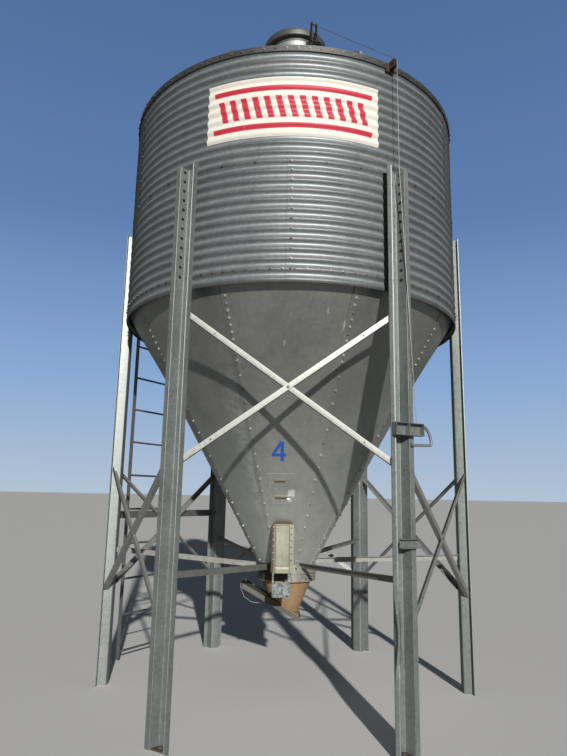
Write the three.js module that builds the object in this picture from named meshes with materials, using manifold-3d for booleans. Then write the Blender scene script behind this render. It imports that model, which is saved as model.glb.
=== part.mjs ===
// A galvanised bulk feed silo on six legs: two corrugated wall rings under a low cone roof, and a
// steep hopper of nine bolted panels that ends in a round collar, a boot and a slide gate.
// Millimetres, +Z up, origin on the silo's axis at the ground, front of the silo towards -Y.
// An azimuth is a direction round the axis in degrees from the front, positive towards +X.

import * as THREE from "three";
import { mergeVertices } from "three/addons/utils/BufferGeometryUtils.js";
import Module from "manifold-3d";

const wasm = await Module();
wasm.setup();

// Wall: corrugated sheets, two rings of three
const corrugationPitch = 69.15;
const corrugationsPerRing = 12;
const sheetSpan = 120;
const valleyRadius = 1353.5;
const ridgeRadius = 1366.5;
const wallInnerRadius = 1350;
const wallBottom = 2803.8;
const ringSeam = wallBottom + corrugationsPerRing * corrugationPitch;
const wallTop = ringSeam + corrugationsPerRing * corrugationPitch;
const arcStep = 10;

// Hopper: a cone of nine panels at 60 degrees, with an upright rim bolted inside the wall
const hopperPanels = 9;
const hopperRun = Math.tan(THREE.MathUtils.degToRad(30));
const hopperBottom = 935;
const hopperBottomRadius = 229.8;
const hopperTop = 2862;
const hopperRimTop = 2898;
const hopperSheet = 4;

// Roof: a cone of nine panels with standing ribs, over an angle ring on the wall
const eaveRadius = 1373;
const skirtSheet = 4;
const skirtBottom = 4459;
const skirtTop = 4504;
const roofRise = Math.tan(THREE.MathUtils.degToRad(37.5));
const roofSheet = 5;
const ribWidth = 28;
const ribHeight = 20;
const ribSunk = 3;
const ribEnd = 25;
const roofStarts = { front: -60, right: 60, left: 180 };
const roofSpan = 120;
const roofPanel = roofSpan / 3;
const eaveAngle = 4;
const eaveAngleHeight = 28;

// Fill neck and lid
const neckRadius = 251;
const neckSheet = 3.3;
const neckBottom = 5316;
const neckTop = 5485;
const brimRadius = 290;
const brimBottom = 5524;
const lidRadius = 293;
const lidShoulder = 5582;
const lidApex = 5655;
const lidSheet = 4;
const lidDome = [
  [0, lidApex],
  [120, 5647],
  [220, 5623],
];

// Legs: open channels with slanted sides and flat lips
const legs = {
  front_left: -30,
  front_right: 30,
  right: 90,
  back_right: 150,
  back_left: -150,
  left: -90,
};
const legTop = 3664;
const legSheet = 5;
const legWebHalf = 40;
const legMouthHalf = 58;
const legHalf = 90;
const legDepth = 74;
const footThickness = 10;

// Bracing: a cross in each bay and a stay from each leg to the outlet collar
const bracePlane = 1272;
const braceWidth = 36;
const braceFlange = 34;
const braceSheet = 4;
const braceReach = 700;
const frontBraceLevels = [1627, 2626];
const sideBraceLevels = [690, 1668];
const stayHeight = 40;
const stayFlange = 25;

// Outlet: collar, side chute, boot and slide gate
const collarRadius = 232;
const collarInner = 226;
const collarFlange = 240;
const collarFlangeHeights = [864, 872];
const collarBottom = 812;
const bootRimBottom = 806;
const bootTopRadius = 197;
const bootRun = 0.42;
const bootSheet = 4;
const gateTilt = THREE.MathUtils.degToRad(28.4);
const gateHeight = 600;
const gateHalfWidth = 128;
const railHeight = 36;
const railUpperEnd = -378;
const railLowerEnd = 128;

// Ladder on its brackets, between the left and back left legs
const ladderAzimuth = -120;
const ladderDistance = 1565;
const ladderHalf = 215;
const ladderBottom = 30;
const ladderTop = 4400;
const rungSpacing = 305;
const rungStart = 86;

// Pieces that touch keep this gap
const gap = 0.3;

// The back of a leg's web, flush with the wall's ridges
const legBack = ridgeRadius + gap;

const finish = { roughness: 0.45, metalness: 0.85 };
const material = {
  wall: new THREE.MeshStandardMaterial({ color: 0x87908f, ...finish }),
  roof: new THREE.MeshStandardMaterial({ color: 0x8d9594, ...finish }),
  hopper: new THREE.MeshStandardMaterial({ color: 0x6f7671, ...finish }),
  leg: new THREE.MeshStandardMaterial({ color: 0x7d8683, ...finish }),
  brace: new THREE.MeshStandardMaterial({ color: 0x9aa09a, ...finish }),
  outlet: new THREE.MeshStandardMaterial({ color: 0x9c9a8a, ...finish }),
  boot: new THREE.MeshStandardMaterial({ color: 0xb48a5c, roughness: 0.7, metalness: 0.1 }),
  dark: new THREE.MeshStandardMaterial({ color: 0x4c5150, roughness: 0.6, metalness: 0.7 }),
};

const silo = new THREE.Group();

function addGroup(azimuth = 0) {
  const group = new THREE.Group();
  group.rotation.z = THREE.MathUtils.degToRad(azimuth);
  silo.add(group);
  return group;
}

function addPiece(group, name, geometry, pieceMaterial) {
  const mesh = new THREE.Mesh(geometry, pieceMaterial);
  mesh.name = name;
  group.add(mesh);
  return mesh;
}

// Rings of corners, all of the same length, skinned into one closed body. The last ring joins the
// first one, or else both ends are capped with the triangles of `cap`.
function skin(rings, cap) {
  const count = rings[0].length;
  const triangles = [];
  const spans = cap ? rings.length - 1 : rings.length;
  for (let i = 0; i < spans; i += 1) {
    const here = i * count;
    const next = ((i + 1) % rings.length) * count;
    for (let j = 0; j < count; j += 1) {
      const k = (j + 1) % count;
      triangles.push(here + j, next + j, next + k, here + j, next + k, here + k);
    }
  }
  const end = (rings.length - 1) * count;
  for (const [a, b, c] of cap ?? []) {
    triangles.push(a, b, c, end + a, end + c, end + b);
  }
  const geometry = new THREE.BufferGeometry().setFromPoints(rings.flat());
  geometry.setIndex(triangles);
  geometry.computeVertexNormals();
  return geometry;
}

// A closed outline of [radius, height] points, counterclockwise, swept from one azimuth to another.
function arcSolid(outline, from, to, step = arcStep) {
  const steps = Math.round((to - from) / step);
  const isRing = to - from === 360;
  const rings = [];
  for (let i = 0; i < (isRing ? steps : steps + 1); i += 1) {
    const turn = THREE.MathUtils.degToRad(from + ((to - from) * i) / steps);
    const place = ([radius, z]) =>
      new THREE.Vector3(radius * Math.sin(turn), -radius * Math.cos(turn), z);
    rings.push(outline.map(place));
  }
  const flat = outline.map(([radius, z]) => new THREE.Vector2(radius, z));
  return skin(rings, isRing ? null : THREE.ShapeUtils.triangulateShape(flat, []));
}

// A profile of [radius, height] points that starts and ends on the axis, turned all the way round.
function turned(profile, sides = 36) {
  const points = profile.map(([radius, z]) => new THREE.Vector2(radius, z));
  return new THREE.LatheGeometry(points, sides).rotateX(Math.PI / 2);
}

// A round wire or rod through a list of points.
function rod(points, diameter, sides = 8) {
  const rings = [];
  let side = new THREE.Vector3(0.3, 0.9, 0.2);
  points.forEach((point, i) => {
    const before = points[Math.max(i - 1, 0)];
    const after = points[Math.min(i + 1, points.length - 1)];
    const along = after.clone().sub(before).normalize();
    side = side.clone().addScaledVector(along, -side.dot(along)).normalize();
    const up = new THREE.Vector3().crossVectors(along, side);
    const ring = [];
    for (let k = 0; k < sides; k += 1) {
      const turn = (2 * Math.PI * k) / sides;
      const corner = point.clone().addScaledVector(side, (diameter / 2) * Math.cos(turn));
      ring.push(corner.addScaledVector(up, (diameter / 2) * Math.sin(turn)));
    }
    rings.push(ring.reverse());
  });
  const cap = [];
  for (let k = 1; k < sides - 1; k += 1) {
    cap.push([0, k, k + 1]);
  }
  return skin(rings, cap);
}

function extrude(outline, depth) {
  const shape = new THREE.Shape(outline.map(([x, y]) => new THREE.Vector2(x, y)));
  return new THREE.ExtrudeGeometry(shape, { depth, bevelEnabled: false });
}

// A slab from a plan of [x, y] points, between two heights.
function slabUp(plan, low, high) {
  return extrude(plan, high - low).translate(0, 0, low);
}

// A slab at the front of the silo from a side view of [distance from the axis, z] points, between
// two places along X.
function slabAcross(view, left, right) {
  const axes = new THREE.Matrix4().makeBasis(
    new THREE.Vector3(0, -1, 0),
    new THREE.Vector3(0, 0, 1),
    new THREE.Vector3(-1, 0, 0),
  );
  return extrude(view, right - left).applyMatrix4(axes).translate(right, 0, 0);
}

// A slab at the front of the silo from a front view of [x, z] points, between two distances from
// the axis.
function slabOut(view, near, far) {
  return extrude(view, far - near).rotateX(Math.PI / 2).translate(0, -near, 0);
}

// A box at the front of the silo: its range along X, of distances from the axis, and of heights.
function block([left, right], [near, far], [low, high]) {
  const geometry = new THREE.BoxGeometry(right - left, far - near, high - low);
  return geometry.translate((left + right) / 2, -(near + far) / 2, (low + high) / 2);
}

// An angle bar from one point to another, with one flange square to `inward` and the other along it.
function angleBar(start, end, inward) {
  const along = end.clone().sub(start);
  const length = along.length();
  along.normalize();
  const side = new THREE.Vector3().crossVectors(inward, along);
  const half = braceWidth / 2;
  const outline = [
    [-half, 0],
    [half, 0],
    [half, braceFlange],
    [half - braceSheet, braceFlange],
    [half - braceSheet, braceSheet],
    [-half, braceSheet],
  ];
  const axes = new THREE.Matrix4().makeBasis(side, inward, along).setPosition(start);
  return extrude(outline, length).applyMatrix4(axes);
}

function toSolid(geometry) {
  const copy = geometry.clone();
  copy.deleteAttribute("normal");
  copy.deleteAttribute("uv");
  const merged = mergeVertices(copy, 1e-3);
  const vertProperties = new Float32Array(merged.getAttribute("position").array);
  const triVerts = new Uint32Array(merged.index.array);
  return new wasm.Manifold(new wasm.Mesh({ numProp: 3, vertProperties, triVerts }));
}

function toGeometry(solid) {
  const mesh = solid.getMesh();
  const geometry = new THREE.BufferGeometry();
  geometry.setAttribute("position", new THREE.BufferAttribute(mesh.vertProperties, 3));
  geometry.setIndex(new THREE.BufferAttribute(mesh.triVerts, 1));
  geometry.computeVertexNormals();
  return geometry;
}

function joined(geometries) {
  return toGeometry(geometries.map(toSolid).reduce((whole, solid) => whole.add(solid)));
}

function cut(geometry, tools) {
  return toGeometry(tools.map(toSolid).reduce((rest, tool) => rest.subtract(tool), toSolid(geometry)));
}

// The small angle that half the gap between two sheets takes up at the wall
const seamTurn = THREE.MathUtils.radToDeg(gap / wallInnerRadius);

// Wall sheets: a zigzag outside with its ridges at the bolt rows, and a plain face inside
function corrugatedOutline(bottom, top) {
  const folds = 2 * corrugationsPerRing;
  const outline = [[wallInnerRadius, bottom]];
  for (let i = 0; i <= folds; i += 1) {
    const z = bottom + ((top - bottom) * i) / folds;
    outline.push([i % 2 ? valleyRadius : ridgeRadius, z]);
  }
  outline.push([wallInnerRadius, top]);
  return outline;
}

function addWall() {
  const group = addGroup();
  const rings = {
    lower: { from: wallBottom, to: ringSeam - gap / 2, sheets: { left: -120, right: 0, back: 120 } },
    upper: { from: ringSeam + gap / 2, to: wallTop, sheets: { front: -60, right: 60, left: 180 } },
  };
  for (const [ring, { from, to, sheets }] of Object.entries(rings)) {
    const outline = corrugatedOutline(from, to);
    for (const [side, azimuth] of Object.entries(sheets)) {
      const sheet = arcSolid(outline, azimuth + seamTurn, azimuth + sheetSpan - seamTurn);
      addPiece(group, `wall_${ring}_${side}`, sheet, material.wall);
    }
  }
}

// Hopper panels: the first one faces the front, the others follow towards +X
function hopperRadius(z) {
  return hopperBottomRadius + (z - hopperBottom) * hopperRun;
}

function addHopper() {
  const group = addGroup();
  const across = hopperSheet / Math.cos(THREE.MathUtils.degToRad(30));
  const rimRadius = wallInnerRadius - gap;
  const rimFoot = hopperTop + hopperSheet;
  const outline = [
    [hopperBottomRadius, hopperBottom],
    [hopperRadius(hopperTop), hopperTop],
    [rimRadius, rimFoot],
    [rimRadius, hopperRimTop],
    [rimRadius - hopperSheet, hopperRimTop],
    [rimRadius - hopperSheet, rimFoot + 1],
    [hopperRadius(hopperTop) - across, hopperTop + 1],
    [hopperBottomRadius - across, hopperBottom],
  ];
  const span = 360 / hopperPanels;
  for (let i = 0; i < hopperPanels; i += 1) {
    const from = (i - 0.5) * span;
    const panel = arcSolid(outline, from + seamTurn, from + span - seamTurn);
    addPiece(group, `hopper_panel_${i + 1}`, panel, material.hopper);
  }
}

// Roof: three pieces of three panels each, every panel with a standing rib at its start
function roofHeight(radius) {
  return skirtTop + (eaveRadius - radius) * roofRise;
}

function roofRib(azimuth, left, right) {
  const inner = neckRadius + ribEnd;
  const view = [
    [inner, roofHeight(inner) - ribSunk],
    [eaveRadius, skirtTop - ribSunk],
    [eaveRadius, skirtTop + ribHeight],
    [inner, roofHeight(inner) + ribHeight],
  ];
  return slabAcross(view, left, right).rotateZ(THREE.MathUtils.degToRad(azimuth));
}

function addRoof() {
  const group = addGroup();
  const inner = neckRadius + gap;
  const skirtInner = eaveRadius - skirtSheet;
  const outline = [
    [skirtInner, skirtBottom],
    [eaveRadius, skirtBottom],
    [eaveRadius, skirtTop],
    [inner, roofHeight(inner)],
    [inner, roofHeight(inner) - roofSheet],
    [skirtInner, roofHeight(skirtInner) - roofSheet],
  ];
  for (const [side, azimuth] of Object.entries(roofStarts)) {
    const sheet = arcSolid(outline, azimuth + seamTurn, azimuth + roofSpan - seamTurn);
    const ribs = [
      roofRib(azimuth, 2 * gap, ribWidth),
      roofRib(azimuth + roofPanel, -ribWidth / 2, ribWidth / 2),
      roofRib(azimuth + 2 * roofPanel, -ribWidth / 2, ribWidth / 2),
    ];
    addPiece(group, `roof_${side}`, joined([sheet, ...ribs]), material.roof);
  }
  const flat = wallTop + gap;
  const upright = wallInnerRadius + eaveAngle;
  const angle = [
    [wallInnerRadius, flat],
    [skirtInner - gap, flat],
    [skirtInner - gap, flat + eaveAngle],
    [upright, flat + eaveAngle],
    [upright, flat + eaveAngleHeight],
    [wallInnerRadius, flat + eaveAngleHeight],
  ];
  addPiece(group, "eave_angle_ring", arcSolid(angle, 0, 360), material.roof);
}

// Fill neck: a short tube that the roof carries, and a dished lid that sits on it
function addFillNeck() {
  const group = addGroup();
  const inner = neckRadius - neckSheet;
  const tube = [
    [inner, neckBottom],
    [neckRadius, neckBottom],
    [neckRadius, neckTop],
    [inner, neckTop],
  ];
  addPiece(group, "fill_neck", arcSolid(tube, 0, 360), material.roof);
  const profile = [
    ...lidDome.map(([radius, z]) => [radius, z - lidSheet]),
    [lidRadius - lidSheet, lidShoulder],
    [brimRadius - lidSheet, brimBottom + lidSheet],
    [inner, brimBottom + lidSheet],
    [inner, neckTop + gap],
    [neckRadius, neckTop + gap],
    [neckRadius, brimBottom],
    [brimRadius, brimBottom],
    [lidRadius, lidShoulder],
    [lidRadius - 1, lidShoulder + lidSheet],
    ...lidDome.toReversed(),
  ];
  addPiece(group, "lid", turned(profile), material.outlet);
}

// The range from one place to another on the given side, low end first
function onSide(side, near, far) {
  return [side * near, side * far].sort((a, b) => a - b);
}

// Lid lever: two upright straps on ears of a plate on the neck, towards the front right leg
const leverDistance = 330;
const leverTop = 5631;
const leverPin = 14;
const leverPinDrop = 15;
const leverPivotHeight = 5450;
const leverPlateHalf = 35;
const leverPlateSheet = 6;
const leverPlateHeights = [5420, 5480];
const leverEar = [17, 23];
const leverEarHalf = 20;
const leverStrap = [22, 28];
const leverStrapHalf = 15;
const leverPinHalf = 34;

function addLidLever(group) {
  const seat = neckRadius + gap;
  const plateFar = seat + leverPlateSheet;
  const strap = [leverDistance - leverStrapHalf, leverDistance + leverStrapHalf];
  const plate = block([-leverPlateHalf, leverPlateHalf], [seat, plateFar], leverPlateHeights);
  const pieces = [plate];
  for (const side of [-1, 1]) {
    const earHeights = [leverPivotHeight - leverEarHalf, leverPivotHeight + leverEarHalf];
    pieces.push(block(onSide(side, ...leverEar), [plateFar - 2, strap[1]], earHeights));
    const strapHeights = [leverPivotHeight - leverEarHalf / 2, leverTop];
    pieces.push(block(onSide(side, ...leverStrap), strap, strapHeights));
  }
  const pin = (z) =>
    [-leverPinHalf, leverPinHalf].map((x) => new THREE.Vector3(x, -leverDistance, z));
  pieces.push(rod(pin(leverPivotHeight), leverPin), rod(pin(leverTop - leverPinDrop), leverPin));
  addPiece(group, "lid_lever", joined(pieces), material.dark);
}

// Eave pulley: a wheel between two ears on a plate that is bolted to the roof's skirt
const pulleyDistance = 1424;
const pulleyHeight = 4476;
const pulleyRadius = 24;
const pulleyHalf = 6;
const pulleyPlateHalf = 38;
const pulleyPlateSheet = 5;
const pulleyPlateHeights = [4434, 4500];
const pulleyEar = [8, 12];
const pulleyEarHalf = 30;
const pulleyEarReach = 14;
const axleHalf = 17;
const axleDiameter = 10;

function addEavePulley(group) {
  const plate = [eaveRadius + gap, eaveRadius + gap + pulleyPlateSheet];
  const pieces = [block([-pulleyPlateHalf, pulleyPlateHalf], plate, pulleyPlateHeights)];
  for (const side of [-1, 1]) {
    const earHeights = [pulleyHeight - pulleyEarHalf, pulleyHeight + pulleyEarHalf];
    const earRange = [plate[0] + 2, pulleyDistance + pulleyEarReach];
    pieces.push(block(onSide(side, ...pulleyEar), earRange, earHeights));
  }
  const across = (half) =>
    [-half, half].map((x) => new THREE.Vector3(x, -pulleyDistance, pulleyHeight));
  pieces.push(rod(across(pulleyHalf), 2 * pulleyRadius, 16), rod(across(axleHalf), axleDiameter));
  addPiece(group, "eave_pulley", joined(pieces), material.dark);
}

// Lid cable: from the lever's top pin over the pulley and down in front of the leg to its bracket
const cableDiameter = 5;
const bracketTop = 1912;
const cableOverPulley = [43, 29, 14, 0];
const cableDown = [
  [2, legTop + 4],
  [56, 2724],
  [83, 2252],
  [104, bracketTop + 2 * gap],
];

function addLidCable(group) {
  const start = leverDistance + leverPin / 2 + 2 * gap;
  const points = [new THREE.Vector3(0, -start, leverTop - leverPinDrop - leverPin / 2)];
  const route = pulleyRadius + gap + cableDiameter / 2;
  for (const degrees of cableOverPulley) {
    const turn = THREE.MathUtils.degToRad(degrees);
    const distance = pulleyDistance + route * Math.cos(turn);
    points.push(new THREE.Vector3(0, -distance, pulleyHeight + route * Math.sin(turn)));
  }
  for (const [x, z] of cableDown) {
    points.push(new THREE.Vector3(x, -pulleyDistance - route, z));
  }
  addPiece(group, "lid_cable", rod(points, cableDiameter), material.dark);
}

// Pull brackets on the front right leg's lips, and the bent handle that hangs beside them
const bracketBottom = 1833;
const bracketSheet = 4;
const bracketEnds = [-85, 139];
const bracketDivider = [18, 24];
const bracketDepth = 42;
const lowerBracketEnds = [-45, 102];
const lowerBracketHeights = [1153, 1209];
const lowerBracketDepth = 30;
const handleDiameter = 18;
const handleProud = 12;
const handleRoute = [
  [148, handleProud, 1895],
  [163, handleProud, 1893],
  [188, handleProud, 1869],
  [205, handleProud, 1832],
  [213, handleProud, 1790],
  [206, 11, 1781],
  [150, 7, 1779],
  [95, 1, 1777],
  [60, 0, 1776],
];

function addPullBrackets(group) {
  const seat = legBack + legDepth + gap;
  const back = [seat, seat + bracketSheet];
  const tray = (ends, depth, [low, high]) => [
    block(ends, back, [low, high]),
    block(ends, [seat, seat + depth], [low, low + bracketSheet]),
    block(ends, [seat, seat + depth], [high - bracketSheet, high]),
  ];
  const heights = [bracketBottom, bracketTop];
  const cheeks = [
    [bracketEnds[0], bracketEnds[0] + bracketSheet],
    bracketDivider,
    [bracketEnds[1] - bracketSheet, bracketEnds[1]],
  ].map((ends) => block(ends, [seat, seat + bracketDepth], heights));
  const upper = joined([...tray(bracketEnds, bracketDepth, heights), ...cheeks]);
  addPiece(group, "pull_bracket_upper", upper, material.leg);
  const lower = joined(tray(lowerBracketEnds, lowerBracketDepth, lowerBracketHeights));
  addPiece(group, "pull_bracket_lower", lower, material.leg);

  const out = seat + handleDiameter / 2;
  const [, , startHeight] = handleRoute[0];
  const points = [[bracketEnds[1] + 1.3 * gap, handleProud, startHeight], ...handleRoute].map(
    ([x, proud, z]) => new THREE.Vector3(x, -out - proud, z),
  );
  addPiece(group, "pull_handle", rod(points, handleDiameter), material.dark);
}

// Legs: the channel stands on its foot plate with the web's back against the wall's ridges
function legBackPlan(grow) {
  const lipBack = -legBack - legDepth + legSheet + grow;
  return [
    [-legHalf - grow, lipBack],
    [-legMouthHalf - grow, lipBack],
    [-legWebHalf - grow, -legBack + grow],
    [legWebHalf + grow, -legBack + grow],
    [legMouthHalf + grow, lipBack],
    [legHalf + grow, lipBack],
  ];
}

function legPlan() {
  return [
    ...legBackPlan(0),
    [legHalf, -legBack - legDepth],
    [legMouthHalf - legSheet, -legBack - legDepth],
    [legWebHalf - legSheet, -legBack - legSheet],
    [legSheet - legWebHalf, -legBack - legSheet],
    [legSheet - legMouthHalf, -legBack - legDepth],
    [-legHalf, -legBack - legDepth],
  ];
}

function addLegs() {
  const middle = legSheet / 2;
  const footPlan = [
    [middle - legWebHalf + 1, -legBack - 2],
    [legWebHalf - middle - 1, -legBack - 2],
    [legMouthHalf - middle - 4, -legBack - legDepth + 12],
    [middle - legMouthHalf + 4, -legBack - legDepth + 12],
  ];
  const leg = joined([slabUp(legPlan(), 0, legTop), slabUp(footPlan, 0, footThickness)]);
  for (const [side, azimuth] of Object.entries(legs)) {
    addPiece(addGroup(azimuth), `leg_${side}`, leg, material.leg);
  }
}

// Braces: crossed angle bars that end behind the lips of the legs on either side of a bay
function legSpace(azimuth) {
  const far = -legBack - 2 * legDepth;
  const plan = [...legBackPlan(gap), [legHalf + gap, far], [-legHalf - gap, far]];
  return slabUp(plan, -1, legTop + 1).rotateZ(THREE.MathUtils.degToRad(azimuth));
}

function crossBrace([low, high]) {
  const inward = new THREE.Vector3(0, 1, 0);
  const place = (x, z) => new THREE.Vector3(x, -bracePlane, z);
  const bars = [
    angleBar(place(-braceReach, low), place(braceReach, high), inward),
    angleBar(place(-braceReach, high), place(braceReach, low), inward),
  ];
  return cut(joined(bars), [legSpace(-30), legSpace(30)]);
}

function addBraces() {
  addPiece(addGroup(), "brace_front", crossBrace(frontBraceLevels), material.brace);
  const brace = crossBrace(sideBraceLevels);
  const bays = { front_right: 60, back_right: 120, back: 180, back_left: -120, front_left: -60 };
  for (const [bay, azimuth] of Object.entries(bays)) {
    addPiece(addGroup(azimuth), `brace_${bay}`, brace, material.brace);
  }
}

// The space that the collar and the hopper take up, for trimming what ends against them
function outletSpace() {
  const top = 1400;
  return turned([
    [0, collarBottom],
    [collarFlange + gap, collarBottom],
    [collarFlange + gap, collarFlangeHeights[1] + gap],
    [collarRadius + gap, collarFlangeHeights[1] + gap],
    [collarRadius + gap, hopperBottom],
    [hopperRadius(top) + 1.2 * gap, top],
    [0, top],
  ]);
}

// Stays: from the back of each leg's web to the collar, heights given at the leg and at the collar
const stays = {
  front_left: [962, 915],
  front_right: [962, 928],
  right: [997, 950],
  back_right: [1030, 955],
  back_left: [1020, 880],
  left: [1003, 905],
};

function addStays() {
  const outer = legBack - gap;
  const inner = 205;
  for (const [side, [atLeg, atCollar]] of Object.entries(stays)) {
    const bar = (depth) => [
      [inner, atCollar + stayHeight / 2],
      [outer, atLeg + stayHeight / 2],
      [outer, atLeg + stayHeight / 2 - depth],
      [inner, atCollar + stayHeight / 2 - depth],
    ];
    const web = slabAcross(bar(stayHeight), -braceSheet, 0);
    const flange = slabAcross(bar(braceSheet), -stayFlange, 0);
    const stay = cut(joined([web, flange]), [outletSpace()]);
    addPiece(addGroup(legs[side]), `stay_${side}`, stay, material.brace);
  }
}

// Ladder: flat stiles with round rungs, a girt with two arms below, and two brackets on the wall
const stileSheet = 6;
const stileWidth = 38;
const rungDiameter = 19;
const armSheet = 6;
const girtSheet = 4;
const girtHeights = [1240, 1300];
const girtArmHeights = [1252, 1288];
const wallStrapSheet = 5;
const wallStrapHalf = 15;

// The inside of each arm, which lies against the stile's inner face
const armInner = ladderHalf - stileSheet / 2 - gap - armSheet;

function wallDistance(x) {
  return ridgeRadius - Math.abs(x) * Math.tan(THREE.MathUtils.degToRad(arcStep / 2)) + gap;
}

function ladderArms(near, [low, high]) {
  const far = ladderDistance + stileWidth / 2 - girtSheet;
  return [-1, 1].map((side) => {
    const range = onSide(side, armInner, armInner + armSheet);
    return block(range, [near, far], [low, high]);
  });
}

function addLadder() {
  const group = addGroup(ladderAzimuth);
  const radial = [ladderDistance - stileWidth / 2, ladderDistance + stileWidth / 2];
  const pieces = [];
  for (const side of [-1, 1]) {
    const x = side * ladderHalf;
    const range = [x - stileSheet / 2, x + stileSheet / 2];
    pieces.push(block(range, radial, [ladderBottom, ladderTop]));
  }
  for (let z = rungStart; z < ladderTop; z += rungSpacing) {
    const ends = [-ladderHalf, ladderHalf].map((x) => new THREE.Vector3(x, -ladderDistance, z));
    pieces.push(rod(ends, rungDiameter));
  }
  addPiece(group, "ladder", joined(pieces), material.dark);

  const girt = [bracePlane + gap, bracePlane + gap + girtSheet];
  const bar = block([-braceReach, braceReach], girt, girtHeights);
  const trimmed = cut(bar, [legSpace(-30), legSpace(30)]);
  const arms = ladderArms(girt[0], girtArmHeights);
  addPiece(group, "ladder_girt", joined([trimmed, ...arms]), material.dark);

  const ridges = { lower: ringSeam - 8 * corrugationPitch, upper: wallTop - 3 * corrugationPitch };
  for (const [level, z] of Object.entries(ridges)) {
    const heights = [z - wallStrapHalf, z + wallStrapHalf];
    const reach = [-armInner - armSheet / 2, armInner + armSheet / 2];
    const strap = block(reach, [legBack, legBack + wallStrapSheet], heights);
    const bracket = joined([strap, ...ladderArms(wallDistance(armInner), heights)]);
    addPiece(group, `ladder_bracket_${level}`, bracket, material.dark);
  }
}

// Outlet collar: two bands with a flange between them, under the hopper's bottom edge
function addCollar() {
  const lowerRadius = collarRadius - 2;
  const outline = [
    [collarInner, collarBottom],
    [lowerRadius, collarBottom],
    [lowerRadius, collarFlangeHeights[0]],
    [collarFlange, collarFlangeHeights[0]],
    [collarFlange, collarFlangeHeights[1]],
    [collarRadius, collarFlangeHeights[1]],
    [collarRadius, hopperBottom - gap],
    [collarInner, hopperBottom - gap],
  ];
  addPiece(addGroup(), "outlet_collar", arcSolid(outline, 0, 360), material.outlet);
}

// Side chute: an upright hat-shaped cover on two cheeks that end against the cone and the collar
const chuteMiddle = -29;
const chuteHalf = 82;
const chuteFace = 424;
const chuteBottom = 898;
const chuteTop = 1265;
const chuteCorner = 45;
const chuteSheet = 4;
const chutePanelHalf = 51;
const chutePanelTop = 1240;
const chutePanelProud = 22;
const chuteLipTop = 938;

function addSideChute() {
  const left = chuteMiddle - chuteHalf;
  const right = chuteMiddle + chuteHalf;
  const arch = [
    [left, chuteBottom],
    [right, chuteBottom],
  ];
  for (const middle of [right - chuteCorner, left + chuteCorner]) {
    const quarter = middle < chuteMiddle ? 4 : 0;
    for (let i = quarter; i <= quarter + 4; i += 1) {
      const turn = (Math.PI / 8) * i;
      const z = chuteTop - chuteCorner + chuteCorner * Math.sin(turn);
      arch.push([middle + chuteCorner * Math.cos(turn), z]);
    }
  }
  const panel = [chuteMiddle - chutePanelHalf, chuteMiddle + chutePanelHalf];
  const lip = [panel[0] - 10, panel[1] + 3];
  const front = chuteFace + chutePanelProud;
  const panelHeights = [chuteBottom, chutePanelTop];
  const cheeks = [left + chuteSheet, right - 2 * chuteSheet].map((x) =>
    block([x, x + chuteSheet], [200, chuteFace + 1], panelHeights),
  );
  const whole = joined([
    slabOut(arch, chuteFace, chuteFace + chuteSheet),
    block(panel, [chuteFace, front], panelHeights),
    block(lip, [chuteFace, front + 3], [chuteBottom, chuteLipTop]),
    ...cheeks,
  ]);
  const pocket = block(
    [panel[0] + chuteSheet, panel[1] - chuteSheet],
    [chuteFace - 10, front - chuteSheet],
    [chuteBottom - 10, chutePanelTop - chuteSheet],
  );
  addPiece(addGroup(), "side_chute", cut(whole, [pocket, outletSpace()]), material.outlet);
}

// Chute slide plate: hangs under the chute's lip on two side straps, with an open slot above it
const slideEnds = [-100, 30];
const slideSlot = [-88, 14];
const slideSlotBottom = 833;
const slideBottom = 727;
const slideSheet = 3;

function addChuteSlide() {
  const top = chuteBottom - gap;
  const range = [chuteFace + chuteSheet, chuteFace + chuteSheet + slideSheet];
  const plate = block(slideEnds, range, [slideBottom, top]);
  const slot = block(slideSlot, [range[0] - 5, range[1] + 5], [slideSlotBottom, top + 5]);
  const tie = block(slideEnds, range, [top - 4, top]);
  addPiece(addGroup(), "chute_slide_plate", joined([cut(plate, [slot]), tie]), material.outlet);
}

// Gate frame of reference: x down along the slope, y across, z square to the gate, with its origin
// on the silo's axis in the plane of the rails' top edges
function onGate(geometry) {
  return geometry.rotateY(gateTilt).translate(0, 0, gateHeight);
}

function gateBlock([from, to], [low, high], [back, front]) {
  const geometry = new THREE.BoxGeometry(to - from, high - low, front - back);
  return onGate(geometry.translate((from + to) / 2, (low + high) / 2, (back + front) / 2));
}

// Boot: a round funnel from the collar down to a slanted flange on the gate's rails
const bootTop = collarBottom - gap;
const bootSides = 24;
const bootFlangeEnds = [-174, 116];

function drum(radius, low, high) {
  const profile = [
    [0, low],
    [radius, low],
    [radius, high],
    [0, high],
  ];
  return turned(profile, bootSides);
}

function bootCone(inset) {
  const bottom = gateHeight - 120;
  const radius = (z) => bootTopRadius - (bootRimBottom - z) * bootRun - inset;
  const profile = [
    [0, bottom],
    [radius(bottom), bottom],
    [radius(bootTop), bootTop],
    [0, bootTop],
  ];
  return turned(profile, bootSides);
}

function addBoot() {
  const rim = drum(collarRadius - 2, bootRimBottom, bootTop);
  const flange = gateBlock(bootFlangeEnds, [-gateHalfWidth, gateHalfWidth], [gap, bootSheet + gap]);
  const below = gateBlock([-500, 500], [-300, 300], [gap - 400, gap]);
  const mouth = drum(bootTopRadius - bootSheet, bootRimBottom - 6, bootTop + 5);
  const boot = cut(joined([bootCone(0), rim, flange]), [below, bootCone(bootSheet), mouth]);
  addPiece(addGroup(), "boot", boot, material.boot);
}

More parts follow.
